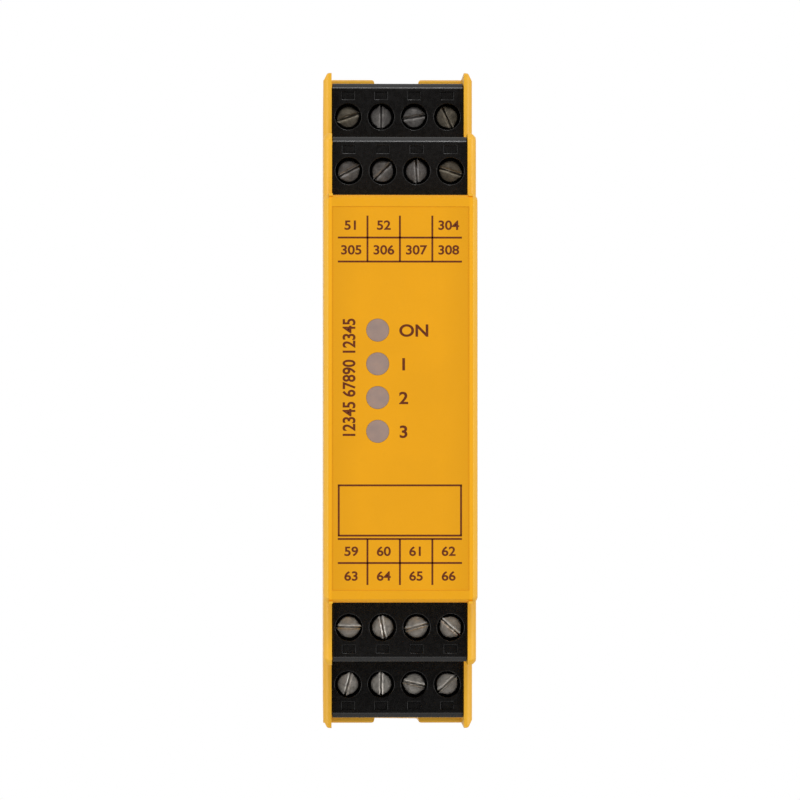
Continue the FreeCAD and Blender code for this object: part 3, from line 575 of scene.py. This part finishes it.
class RELAY_OT_housing(bpy.types.Operator):
    """Mould the two housings and the front cover"""
    bl_idname = "relay.housing"
    bl_label = "Mould Housing"

    def execute(self, context):
        settings = context.scene.relay_housing
        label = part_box("label_plate")[1]
        skin = (settings.roughness, settings.grain, settings.grain_depth)
        yellow = moulded_plastic("yellow polyamide", settings.plastic, *skin, mottle=0.015,
                                 specular=0.7)
        # Painted light on the cover's narrow rim beside the label: brighter from the label's edge
        # outwards.
        painted_rim_light = (label.x, label.x + 0.2 * MM, settings.rim_tone)
        orange = moulded_plastic("orange polyamide", settings.cover, *skin, mottle=0.025,
                                 specular=0.25, sides=painted_rim_light)
        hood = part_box("upper_housing")[1]
        seams = ((0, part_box("front_cover")[1].x), (0, label.x), (2, label.z))
        rims = ((0, hood.x), (0, hood.x - CHAMFER), (2, hood.z))
        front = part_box("front_cover")[0].y + FACE_DEPTH

        def on_rim(edge):
            return lies_on(edge, rims) and all(
                vertex.co.y < hood.y - REAR_MARGIN
                and (vertex.co.y > front or abs(vertex.co.x) > hood.x - SIDE_MARGIN)
                for vertex in edge.verts)

        def beside_cover(edge):
            return all(vertex.co.y < front and abs(vertex.co.x) > label.x + WALL_MARGIN
                       for vertex in edge.verts)

        special = ((lambda edge: lies_on(edge, seams), settings.seam_round),
                   (on_rim, settings.rim_round), (beside_cover, settings.narrow_round))
        dressed("rear_housing", "base", settings.edge_round, yellow, special)
        dressed("front_cover", "cover", settings.edge_round, orange, special,
                (settings.cover_growth, 0.0, 0.0))
        mesh = softened("upper_housing", settings.edge_round, special)
        self.close_corners(mesh)
        finished("hood", mesh, "housing", [yellow], ["upper_housing"])
        return {"FINISHED"}

    @staticmethod
    def close_corners(mesh):
        """Fills the four ends of the rebate that the cover leaves open in the side walls."""
        low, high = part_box("front_cover")
        for side in (-1, 1):
            for end in (-1, 1):
                across = [side * (high.x + reach) for reach in CORNER_ACROSS]
                along = [end * (high.z + reach) for reach in CORNER_ALONG]
                bar(mesh, *across, *along, low.y + CORNER_DEPTH, CORNER_DEPTH)


def bar(mesh, x0, x1, z0, z1, y, height):
    """A box between two corners of the front view that stands out from y by height."""
    middle = Vector(((x0 + x1) / 2.0, y - height / 2.0, (z0 + z1) / 2.0))
    size = Vector((abs(x1 - x0), height, abs(z1 - z0)))
    bmesh.ops.create_cube(mesh, size=1.0, matrix=Matrix.LocRotScale(middle, None, size))


def marks(mesh, text, height, x, z, y, thickness, align, stretch=DIGIT_STRETCH, turn=0.0):
    """Printed digits, centred or starting at x, with their middle at z, turned about that point."""
    curve = bpy.data.curves.new("marks", "FONT")
    curve.body = text
    curve.size = height / DIGIT_HEIGHT
    curve.offset = DIGIT_BOLD * height
    curve.extrude = thickness / 2.0
    curve.align_x = align
    holder = bpy.data.objects.new("marks", curve)
    glyphs = bpy.data.meshes.new_from_object(holder)
    bpy.data.objects.remove(holder)
    glyphs.transform(Matrix.Translation((0.0, -height / 2.0, 0.0)))
    glyphs.transform(Matrix.Diagonal((stretch, 1.0, 1.0, 1.0)))
    glyphs.transform(Matrix.Rotation(turn, 4, "Y") @ UPRIGHT)
    glyphs.transform(Matrix.Translation((x, y - thickness / 2.0, z)))
    mesh.from_mesh(glyphs)
    bpy.data.meshes.remove(glyphs)


def terminal_table(mesh, settings, middle, closed, side, rows, y):
    """A table of two rows and four columns, closed by a line at one side and open at the other."""
    half, pitch, line = settings.table_half, settings.column_pitch, settings.line_width
    ink = settings.ink_height
    inner = closed + side * settings.row_height
    for z in (closed, inner):
        bar(mesh, middle - half, middle + half, z - line / 2, z + line / 2, y, ink)
    for i in (-1, 0, 1):
        x = middle + i * pitch
        bar(mesh, x - line / 2, x + line / 2, closed, inner + side * settings.open_height, y, ink)
    open_middle = inner + side * OPEN_ROW_MIDDLE * settings.row_height
    for z, row in zip(((closed + inner) / 2.0, open_middle), rows):
        for i, text in enumerate(row):
            if text:
                marks(mesh, text, settings.table_digit, middle + (i - 1.5) * pitch, z, y, ink,
                      "CENTER")


class RELAY_OT_label(bpy.types.Operator):
    """Lay the label plate in the cover and print it with plain numbers"""
    bl_idname = "relay.label"
    bl_label = "Print Label"

    def execute(self, context):
        housing = context.scene.relay_housing
        settings = context.scene.relay_print
        low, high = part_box("label_plate")
        # The label is painted darker towards its left and right edges: painted shade from the
        # recess.
        film = moulded_plastic("label film", housing.film, 0.5, 0.3 * MM, 0.002 * MM, mottle=0.025,
                               specular=0.2, sides=(0.6 * high.x, high.x, housing.film_tone))
        dressed("label_plate", "label", housing.seam_round, film,
                growth=(housing.label_growth, 0.0, housing.label_growth))
        middle = (low.x + high.x) / 2.0 - PRINT_LEFT
        y = low.y
        mesh = bmesh.new()
        terminal_table(mesh, settings, middle, high.z - UPPER_TABLE, 1,
                       (("305", "306", "307", "308"), ("51", "52", "", "304")), y)
        lower = low.z + LOWER_TABLE
        terminal_table(mesh, settings, middle, lower, -1,
                       (("59", "60", "61", "62"), ("63", "64", "65", "66")), y)
        half, line, ink = settings.table_half, settings.line_width, settings.ink_height
        field_low = lower + FIELD_DROP
        field_high = field_low + settings.field_height
        for z in (field_low, field_high):
            bar(mesh, middle - half, middle + half, z - line / 2, z + line / 2, y, ink)
        for side in (-1, 1):
            x = middle + side * (half - line / 2)
            bar(mesh, x - line / 2, x + line / 2, field_low, field_high, y, ink)
        for text, z in zip(("ON", "1", "2", "3"), lamp_heights()):
            marks(mesh, text, settings.lamp_digit, middle - LAMP_MARK_LEFT, z, y, ink, "LEFT")
        marks(mesh, "12345 67890 12345", settings.side_digit, middle - SIDE_DIGITS_LEFT,
              SIDE_DIGITS_UP, y, ink, "CENTER", SIDE_STRETCH, -QUARTER)
        bmesh.ops.recalc_face_normals(mesh, faces=mesh.faces[:])
        finished("label_print", shaded(mesh), "housing",
                 [printed_ink(settings.ink)])
        return {"FINISHED"}


def lamp_heights():
    """Heights of the four lamp windows, from the top down."""
    low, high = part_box("indicator_leds")
    radius = 1.5 * MM
    pitch = (high.z - low.z - 2 * radius) / 3.0
    return [high.z - radius - i * pitch for i in range(4)]


class RELAY_OT_lamps(bpy.types.Operator):
    """Finish the light guide and the lamps behind it"""
    bl_idname = "relay.lamps"
    bl_label = "Fit Lamps"

    def execute(self, context):
        dressed("light_guide", "lamp_windows", 0.02 * MM, milky_window())
        resin = moulded_plastic("lamp resin", (0.75, 0.72, 0.65), 0.25, 0.4 * MM, 0.003 * MM)
        dressed("indicator_leds", "lamps", 0.1 * MM, resin)
        return {"FINISHED"}


class RELAY_OT_plugs(bpy.types.Operator):
    """Mould the four plug-in terminal blocks and their headers"""
    bl_idname = "relay.plugs"
    bl_label = "Mould Plugs"

    def execute(self, context):
        settings = context.scene.relay_plugs
        black = moulded_plastic("black polyamide", settings.plastic, settings.roughness, 0.16 * MM,
                                0.003 * MM, mottle=0.15, specular=0.45)
        for place in PLACES:
            low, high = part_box("plug_" + place)
            rim = ((2, max(abs(low.z), abs(high.z)) - CHAMFER),)
            special = ((lambda edge: lies_on(edge, rim), settings.rim_round),)
            dressed("plug_" + place, "terminal_block_" + place, settings.edge_round,
                    black, special)
            dressed("header_" + place, "socket_" + place, 0.08 * MM, black)
            self.tags(settings, place, black)
        return {"FINISHED"}

    @staticmethod
    def tags(settings, place, material):
        """Four blank marker tags in the slots of one plug."""
        low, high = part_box("plug_" + place)
        outer = high.z - settings.tag_inset if high.z > 0.0 else low.z + settings.tag_inset
        face = low.y + settings.tag_sink
        mesh = bmesh.new()
        for pole in POLES:
            x = sum(corner.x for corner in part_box("screw_" + place + "_" + str(pole))) / 2.0
            bar(mesh, x - settings.tag_width / 2, x + settings.tag_width / 2,
                outer - settings.tag_height / 2, outer + settings.tag_height / 2,
                face + settings.tag_depth, settings.tag_depth)
        rounded(mesh, mesh.edges[:], settings.tag_round, clamp=True)
        finished("blank_tags_" + place, shaded(mesh), "plug_" + place, [material])


def slot_direction(node, axis):
    """Angle of a screw's slot in the front view, from the ears of its CAD solid."""
    reach = [vertex.co - axis for vertex in frame["nodes"][node].data.vertices]
    far = max(math.hypot(v.x, v.z) for v in reach)
    angles = [2.0 * math.atan2(v.z, v.x) for v in reach if math.hypot(v.x, v.z) > far - 0.03 * MM]
    return math.atan2(sum(map(math.sin, angles)), sum(map(math.cos, angles))) / 2.0


def everything(mesh):
    """All points, edges and faces of a mesh."""
    return mesh.verts[:] + mesh.edges[:] + mesh.faces[:]


def screw_land(size, chance):
    """One side of the slotted head, its lip bent up along the slot and burred at both ends."""
    mesh = bmesh.new()
    edge_y = size.slot_width / 2.0
    bmesh.ops.create_circle(mesh, cap_ends=True, radius=size.head_radius, segments=size.rim_steps)
    bmesh.ops.bisect_plane(mesh, geom=everything(mesh), plane_co=(0.0, edge_y, 0.0),
                           plane_no=(0.0, 1.0, 0.0), clear_inner=True)
    bmesh.ops.bisect_plane(mesh, geom=everything(mesh), plane_no=(0.0, 1.0, 0.0),
                           plane_co=(0.0, edge_y + size.lip_width, 0.0))
    bmesh.ops.translate(mesh, verts=mesh.verts[:], vec=(0.0, 0.0, -size.slot_depth))
    raised = bmesh.ops.extrude_face_region(mesh, geom=mesh.faces[:])["geom"]
    bmesh.ops.translate(mesh, verts=[v for v in raised if isinstance(v, bmesh.types.BMVert)],
                        vec=(0.0, 0.0, size.slot_depth))
    bmesh.ops.recalc_face_normals(mesh, faces=mesh.faces[:])
    rim = [edge for edge in mesh.edges
           if all(v.co.z > -WELD and math.hypot(v.co.x, v.co.y) > size.head_radius - WELD
                  for v in edge.verts)]
    rounded(mesh, rim, size.rim_round, segments=3)
    for step in range(-CUTS, CUTS + 1):
        x = step * CUT_PITCH + chance.uniform(-CUT_WANDER, CUT_WANDER)
        bmesh.ops.bisect_plane(mesh, geom=everything(mesh), plane_co=(x, 0.0, 0.0),
                               plane_no=(1.0, 0.0, 0.0))
    slot_edge = [edge for edge in mesh.edges
                 if all(v.co.z > -WELD and v.co.y < edge_y + WELD for v in edge.verts)]
    reach = {side: size.ear_reach * chance.uniform(SHORTEST_EAR, 1.0) for side in (-1, 1)}
    for vertex in mesh.verts:
        upper = vertex.co.z > -0.6 * size.slot_depth
        if upper and vertex.co.y < edge_y + WELD:
            vertex.co.z += size.lip_height * chance.uniform(LOWEST_LIP, 1.0)
            vertex.co.y -= chance.uniform(0.0, LIP_WANDER)
        if upper and abs(vertex.co.x) > EAR_START * size.head_radius:
            side = 1 if vertex.co.x > 0.0 else -1
            taper = max(0.0, 1.0 - (vertex.co.y - edge_y) / size.ear_width)
            vertex.co.x += side * reach[side] * min(1.0, EAR_FULLNESS * taper)
    rounded(mesh, slot_edge, SLOT_ROUND, clamp=True)
    # Faces along the slot's raised lip take the second material, the lighter steel that paints a
    # highlight on them.
    for face in mesh.faces:
        middle = face.calc_center_median()
        if middle.y < edge_y + 0.75 * size.lip_width and middle.z > -0.3 * size.slot_depth:
            face.material_index = 1
    return mesh


def round_bar(mesh, radius, z0, z1, steps, edge):
    """A closed round bar along Z, with its rims rounded by edge."""
    ring = bmesh.ops.create_circle(mesh, cap_ends=True, radius=radius, segments=steps,
                                   matrix=Matrix.Translation((0.0, 0.0, z0)))["verts"]
    face = ring[0].link_faces[0]
    raised = bmesh.ops.extrude_face_region(mesh, geom=[face])["geom"]
    moved = [v for v in raised if isinstance(v, bmesh.types.BMVert)]
    bmesh.ops.translate(mesh, verts=moved, vec=(0.0, 0.0, z1 - z0))
    bmesh.ops.recalc_face_normals(mesh, faces=list({f for v in ring + moved for f in v.link_faces}))
    rims = [e for e in mesh.edges if set(e.verts) <= set(ring) or set(e.verts) <= set(moved)]
    rounded(mesh, rims, edge)


def thread(mesh, size, z_top, z_low):
    """A ridge that winds down round the shank."""
    steps = size.shank_steps
    turns = (z_top - z_low) / size.pitch
    outline = [mesh.verts.new((size.root_radius, 0.0, z_top)),
               mesh.verts.new((size.crest_radius, 0.0, z_top - 0.5 * size.pitch)),
               mesh.verts.new((size.root_radius, 0.0, z_top - size.pitch))]
    edges = [mesh.edges.new(outline[:2]), mesh.edges.new(outline[1:])]
    total = int(turns * steps) - steps
    bmesh.ops.spin(mesh, geom=outline + edges, cent=(0.0, 0.0, 0.0), axis=(0.0, 0.0, 1.0),
                   dvec=(0.0, 0.0, -size.pitch / steps), angle=2.0 * math.pi * total / steps,
                   steps=total)


def screw(size, chance, shank_tip):
    """A slotted clamp screw: axis on Z, slot along X, top of the head at z = 0."""
    mesh = bmesh.new()
    for turn in (0.0, math.pi):
        land = screw_land(size, chance)
        bmesh.ops.rotate(land, verts=land.verts[:], cent=(0.0, 0.0, 0.0),
                         matrix=Matrix.Rotation(turn, 3, "Z"))
        half = bpy.data.meshes.new("land")
        land.to_mesh(half)
        land.free()
        mesh.from_mesh(half)
        bpy.data.meshes.remove(half)
    round_bar(mesh, size.head_radius, -size.slot_depth, -size.head_height, size.rim_steps,
              HEAD_ROUND)
    round_bar(mesh, size.root_radius, -size.head_height, -shank_tip, size.shank_steps, TIP_ROUND)
    thread(mesh, size, -size.head_height - BARE_NECK, -shank_tip + BARE_TIP)
    turned = mesh.loops.layers.uv.new("turned")
    for face in mesh.faces:
        for loop in face.loops:
            loop[turned].uv = (loop.vert.co.x / MM, loop.vert.co.y / MM)
    return mesh


class RELAY_OT_screws(bpy.types.Operator):
    """Turn the sixteen slotted clamp screws"""
    bl_idname = "relay.screws"
    bl_label = "Turn Screws"

    def execute(self, context):
        size = context.scene.relay_screws
        finishes = {}
        for name, tint, roughness in (("dull", size.dull, 0.5), ("stained", size.stained, 0.52),
                                      ("bright", size.bright, 0.45)):
            # The second steel, for the raised lip along the slot, is 1.25 times lighter and
            # smoother: a painted highlight on the lip.
            finishes[name] = [turned_steel(name + " screw steel", tint, roughness),
                              turned_steel(name + " burr", scaled(tint, 1.25), roughness - 0.08)]
        for place in PLACES:
            for pole in POLES:
                tail = place + "_" + str(pole)
                # Upper screws take the steel painted darker (painted shade), lower ones the steel
                # painted lighter (painted reflection).
                finish = "dull" if place.startswith("top") else "bright"
                if tail in STAINED:
                    finish = "stained"
                self.place_screw(size, tail, finishes[finish])
        return {"FINISHED"}

    @staticmethod
    def place_screw(size, place, materials):
        node = "screw_" + place
        low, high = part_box(node)
        axis = (low + high) / 2.0
        chance = random.Random(place)
        mesh = screw(size, chance, high.y - low.y)
        turn = Matrix.Rotation(slot_direction(node, axis), 4, "Z")
        lay = Matrix.Translation((axis.x, low.y, axis.z)) @ UPRIGHT @ turn
        bmesh.ops.transform(mesh, matrix=lay, verts=mesh.verts[:])
        finished("clamp_screw_" + place, shaded(mesh), node, materials, [node])


class RELAY_OT_clamps(bpy.types.Operator):
    """Finish the clamp cages, the contact bars and the header pins"""
    bl_idname = "relay.clamps"
    bl_label = "Finish Clamps"

    def execute(self, context):
        plated = worked_metal("nickel-plated brass", (0.50, 0.49, 0.46), 0.34)
        tinned = worked_metal("tinned copper", (0.62, 0.61, 0.58), 0.3, (1.0, 0.2, 1.0))
        for place in PLACES:
            dressed("contacts_" + place, "contact_bars_" + place, 0.06 * MM,
                    tinned)
            for pole in POLES:
                tail = place + "_" + str(pole)
                dressed("cage_" + tail, "clamp_cage_" + tail, 0.08 * MM, plated)
        dressed("header_pins", "pins", 0.06 * MM, tinned)
        return {"FINISHED"}


class RELAY_OT_foot(bpy.types.Operator):
    """Finish the foot catch and its spring"""
    bl_idname = "relay.foot"
    bl_label = "Finish Foot"

    def execute(self, context):
        settings = context.scene.relay_plugs
        black = moulded_plastic("foot polyamide", scaled(settings.plastic, 1.1), settings.roughness,
                                0.16 * MM, 0.003 * MM, mottle=0.15, specular=0.5)
        dressed("foot_catch", "rail_catch", settings.edge_round, black)
        steel = worked_metal("spring steel", (0.55, 0.55, 0.56), 0.28)
        low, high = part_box("foot_spring")
        middle = (low.z + high.z) / 2.0
        wire = settings.spring_wire
        self.wind(settings, "spring_lower", low.z + wire / 2.0, middle, 0.0, body_of("foot_spring"),
                  steel, ["foot_spring"])
        self.wind(settings, "spring_upper", middle, high.z - wire / 2.0, settings.spring_turns,
                  body_of("foot_catch"), steel, [])
        return {"FINISHED"}

    @staticmethod
    def wind(settings, name, z0, z1, first_turn, body, material, replaced):
        """Half of the foot spring; the halves wind into each other when the catch comes down."""
        low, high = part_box("foot_spring")
        axis = (low + high) / 2.0
        radius = (high.x - low.x - settings.spring_wire) / 2.0
        steps = round(settings.spring_turns * settings.spring_steps)
        start = (Matrix.Translation((axis.x, axis.y, z0))
                 @ Matrix.Rotation(2.0 * math.pi * first_turn, 4, "Z")
                 @ Matrix.Translation((radius, 0.0, 0.0)) @ UPRIGHT)
        mesh = bmesh.new()
        bmesh.ops.create_circle(mesh, radius=settings.spring_wire / 2.0, segments=12, matrix=start)
        bmesh.ops.spin(mesh, geom=mesh.verts[:] + mesh.edges[:], cent=(axis.x, axis.y, 0.0),
                       axis=(0.0, 0.0, 1.0), dvec=(0.0, 0.0, (z1 - z0) / steps),
                       angle=2.0 * math.pi * settings.spring_turns, steps=steps)
        bmesh.ops.holes_fill(mesh, edges=mesh.edges[:], sides=12)
        bmesh.ops.recalc_face_normals(mesh, faces=mesh.faces[:])
        finished(name, shaded(mesh), body, [material], replaced)


class RELAY_OT_board(bpy.types.Operator):
    """Finish the circuit board and what it carries"""
    bl_idname = "relay.board"
    bl_label = "Finish Board"

    def execute(self, context):
        dressed("circuit_board", "board", 0.05 * MM, solder_resist())
        white = moulded_plastic("relay shell", (0.78, 0.78, 0.74), 0.35, 0.2 * MM, 0.003 * MM,
                                mottle=0.02)
        dressed("relay_k1", "safety_relay_upper", 0.25 * MM, white)
        dressed("relay_k2", "safety_relay_lower", 0.25 * MM, white)
        dressed("transformer_core", "core_stack", 0.08 * MM, laminated_steel())
        dressed("transformer_coil", "winding", 0.15 * MM, taped_winding())
        dressed("capacitor", "smoothing_capacitor", 0.15 * MM, shrunk_sleeve())
        return {"FINISHED"}


def pale_floor(radius):
    """Pale floor that fades out towards its edge and isn't seen from below."""
    mix = Recipe("pale floor", {
        "Base Color": (0.9, 0.9, 0.9, 1.0), "Roughness": 0.8, "Specular IOR Level": 0.1})
    reach = mix.nodes.new("ShaderNodeVectorMath")
    reach.operation = "LENGTH"
    mix.link(mix.place, reach.inputs[0])
    fade = mix.spread(reach.outputs["Value"], 1.0, 0.0, 0.5 * radius, radius)
    underside = mix.nodes.new("ShaderNodeNewGeometry").outputs["Backfacing"]
    upper_side = mix.spread(underside, 1.0, 0.0, 0.0, 1.0)
    mix.drive("Alpha", mix.computed("MULTIPLY", upper_side, fade))
    return mix.material


def black_cloth():
    """Matt black cloth with a coarse weave."""
    mix = Recipe("black cloth", {"Roughness": 0.9, "Specular IOR Level": 0.1})
    weave = mix.noise(2.0 * MM)
    mix.paint(mix.spread(weave), (0.010, 0.010, 0.010), (0.016, 0.016, 0.016))
    return mix.material


class RELAY_OT_studio(bpy.types.Operator):
    """Set up the floor, the lamps, the flag, the white surround and the camera"""
    bl_idname = "relay.studio"
    bl_label = "Set Up Studio"

    def execute(self, context):
        settings = context.scene.relay_studio
        scene = context.scene
        scene.view_settings.view_transform = "Standard"
        self.surround(scene, settings)
        self.floor(scene, settings)
        middle = (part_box("front_cover")[0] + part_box("front_cover")[1]) / 2.0
        for name, place, size, power in LAMPS:
            self.lamp(scene, name, place, size, getattr(settings, power), middle)
        self.flag(scene, settings, middle)
        self.camera(scene, settings)
        return {"FINISHED"}

    @staticmethod
    def surround(scene, settings):
        """White for the camera and reflections, and a softer fill for the rest."""
        world = bpy.data.worlds.new("white surround")
        world.use_nodes = True
        nodes, links = world.node_tree.nodes, world.node_tree.links
        nodes.clear()
        rays = nodes.new("ShaderNodeLightPath")
        fill, white = (filled(nodes.new("ShaderNodeBackground"), {
            "Color": (1.0, 1.0, 1.0, 1.0), "Strength": power}) for power in (settings.fill, 1.0))
        seen = rays.outputs["Is Camera Ray"]
        for kind in ("Is Glossy Ray", "Is Transmission Ray"):
            either = nodes.new("ShaderNodeMath")
            either.operation = "MAXIMUM"
            links.new(seen, either.inputs[0])
            links.new(rays.outputs[kind], either.inputs[1])
            seen = either.outputs["Value"]
        mix = nodes.new("ShaderNodeMixShader")
        links.new(seen, mix.inputs["Fac"])
        links.new(fill.outputs["Background"], mix.inputs[1])
        links.new(white.outputs["Background"], mix.inputs[2])
        output = nodes.new("ShaderNodeOutputWorld")
        links.new(mix.outputs["Shader"], output.inputs["Surface"])
        scene.world = world

    @staticmethod
    def floor(scene, settings):
        """The round floor under the relay."""
        mesh = bmesh.new()
        bmesh.ops.create_circle(mesh, cap_ends=True, radius=settings.floor_radius, segments=96)
        data = bpy.data.meshes.new("floor")
        mesh.to_mesh(data)
        mesh.free()
        data.transform(Matrix.Translation((0.0, 0.0, -settings.floor_drop)))
        data.materials.append(pale_floor(settings.floor_radius))
        floor = bpy.data.objects.new("floor", data)
        scene.collection.objects.link(floor)

    @staticmethod
    def lamp(scene, name, place, size, power, target):
        """A square lamp that faces the target."""
        light = bpy.data.lights.new(name, "AREA")
        light.shape = "SQUARE"
        light.size = size
        light.energy = power
        holder = bpy.data.objects.new(name, light)
        holder.location = place
        holder.rotation_euler = (target - Vector(place)).to_track_quat("-Z", "Y").to_euler()
        scene.collection.objects.link(holder)

    @staticmethod
    def flag(scene, settings, target):
        """A round black flag behind the camera that only reflections see."""
        mesh = bmesh.new()
        place = Matrix.Translation(target - Vector((0.0, settings.flag_place, 0.0)))
        bmesh.ops.create_circle(mesh, cap_ends=True, radius=settings.flag_radius, segments=96,
                                matrix=place @ UPRIGHT)
        data = bpy.data.meshes.new("flag")
        mesh.to_mesh(data)
        mesh.free()
        data.materials.append(black_cloth())
        flag = bpy.data.objects.new("flag", data)
        for kind in ("camera", "diffuse", "transmission", "volume_scatter", "shadow"):
            setattr(flag, "visible_" + kind, False)
        scene.collection.objects.link(flag)

    @staticmethod
    def camera(scene, settings):
        """The camera, left of and below the relay's middle."""
        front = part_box("front_cover")[0].y
        aim = Vector((-AIM_LEFT, front, -AIM_DROP))
        data = bpy.data.cameras.new("camera")
        data.lens = settings.lens
        data.sensor_width = 36.0
        data.clip_start = 0.01
        camera = bpy.data.objects.new("camera", data)
        camera.location = (-settings.left, front - settings.distance, -settings.drop)
        camera.rotation_euler = (aim - camera.location).to_track_quat("-Z", "Y").to_euler()
        scene.collection.objects.link(camera)
        scene.camera = camera


OPERATORS = (RELAY_OT_housing, RELAY_OT_label, RELAY_OT_lamps, RELAY_OT_plugs, RELAY_OT_screws,
             RELAY_OT_clamps, RELAY_OT_foot, RELAY_OT_board, RELAY_OT_studio)

SETTINGS = {
    "relay_housing": RelayHousingSettings,
    "relay_print": RelayPrintSettings,
    "relay_plugs": RelayPlugSettings,
    "relay_screws": RelayScrewSettings,
    "relay_studio": RelayStudioSettings,
}


class RELAY_PT_dresser(bpy.types.Panel):
    """Lists the operators that dress the relay"""
    bl_label = "Safety Relay"
    bl_idname = "RELAY_PT_dresser"
    bl_space_type = "VIEW_3D"
    bl_region_type = "UI"
    bl_category = "Relay"

    def draw(self, context):
        for operator in OPERATORS:
            self.layout.operator(operator.bl_idname)


def register():
    for group in SETTINGS.values():
        bpy.utils.register_class(group)
    for operator in OPERATORS:
        bpy.utils.register_class(operator)
    bpy.utils.register_class(RELAY_PT_dresser)
    for name, group in SETTINGS.items():
        setattr(bpy.types.Scene, name, PointerProperty(type=group))


def unregister():
    for name in SETTINGS:
        delattr(bpy.types.Scene, name)
    bpy.utils.unregister_class(RELAY_PT_dresser)
    for operator in reversed(OPERATORS):
        bpy.utils.unregister_class(operator)
    for group in SETTINGS.values():
        bpy.utils.unregister_class(group)


def main():
    register()
    bpy.ops.relay.housing()
    bpy.ops.relay.label()
    bpy.ops.relay.lamps()
    bpy.ops.relay.plugs()
    bpy.ops.relay.screws()
    bpy.ops.relay.clamps()
    bpy.ops.relay.foot()
    bpy.ops.relay.board()
    bpy.ops.relay.studio()


if __name__ == "__main__":
    main()
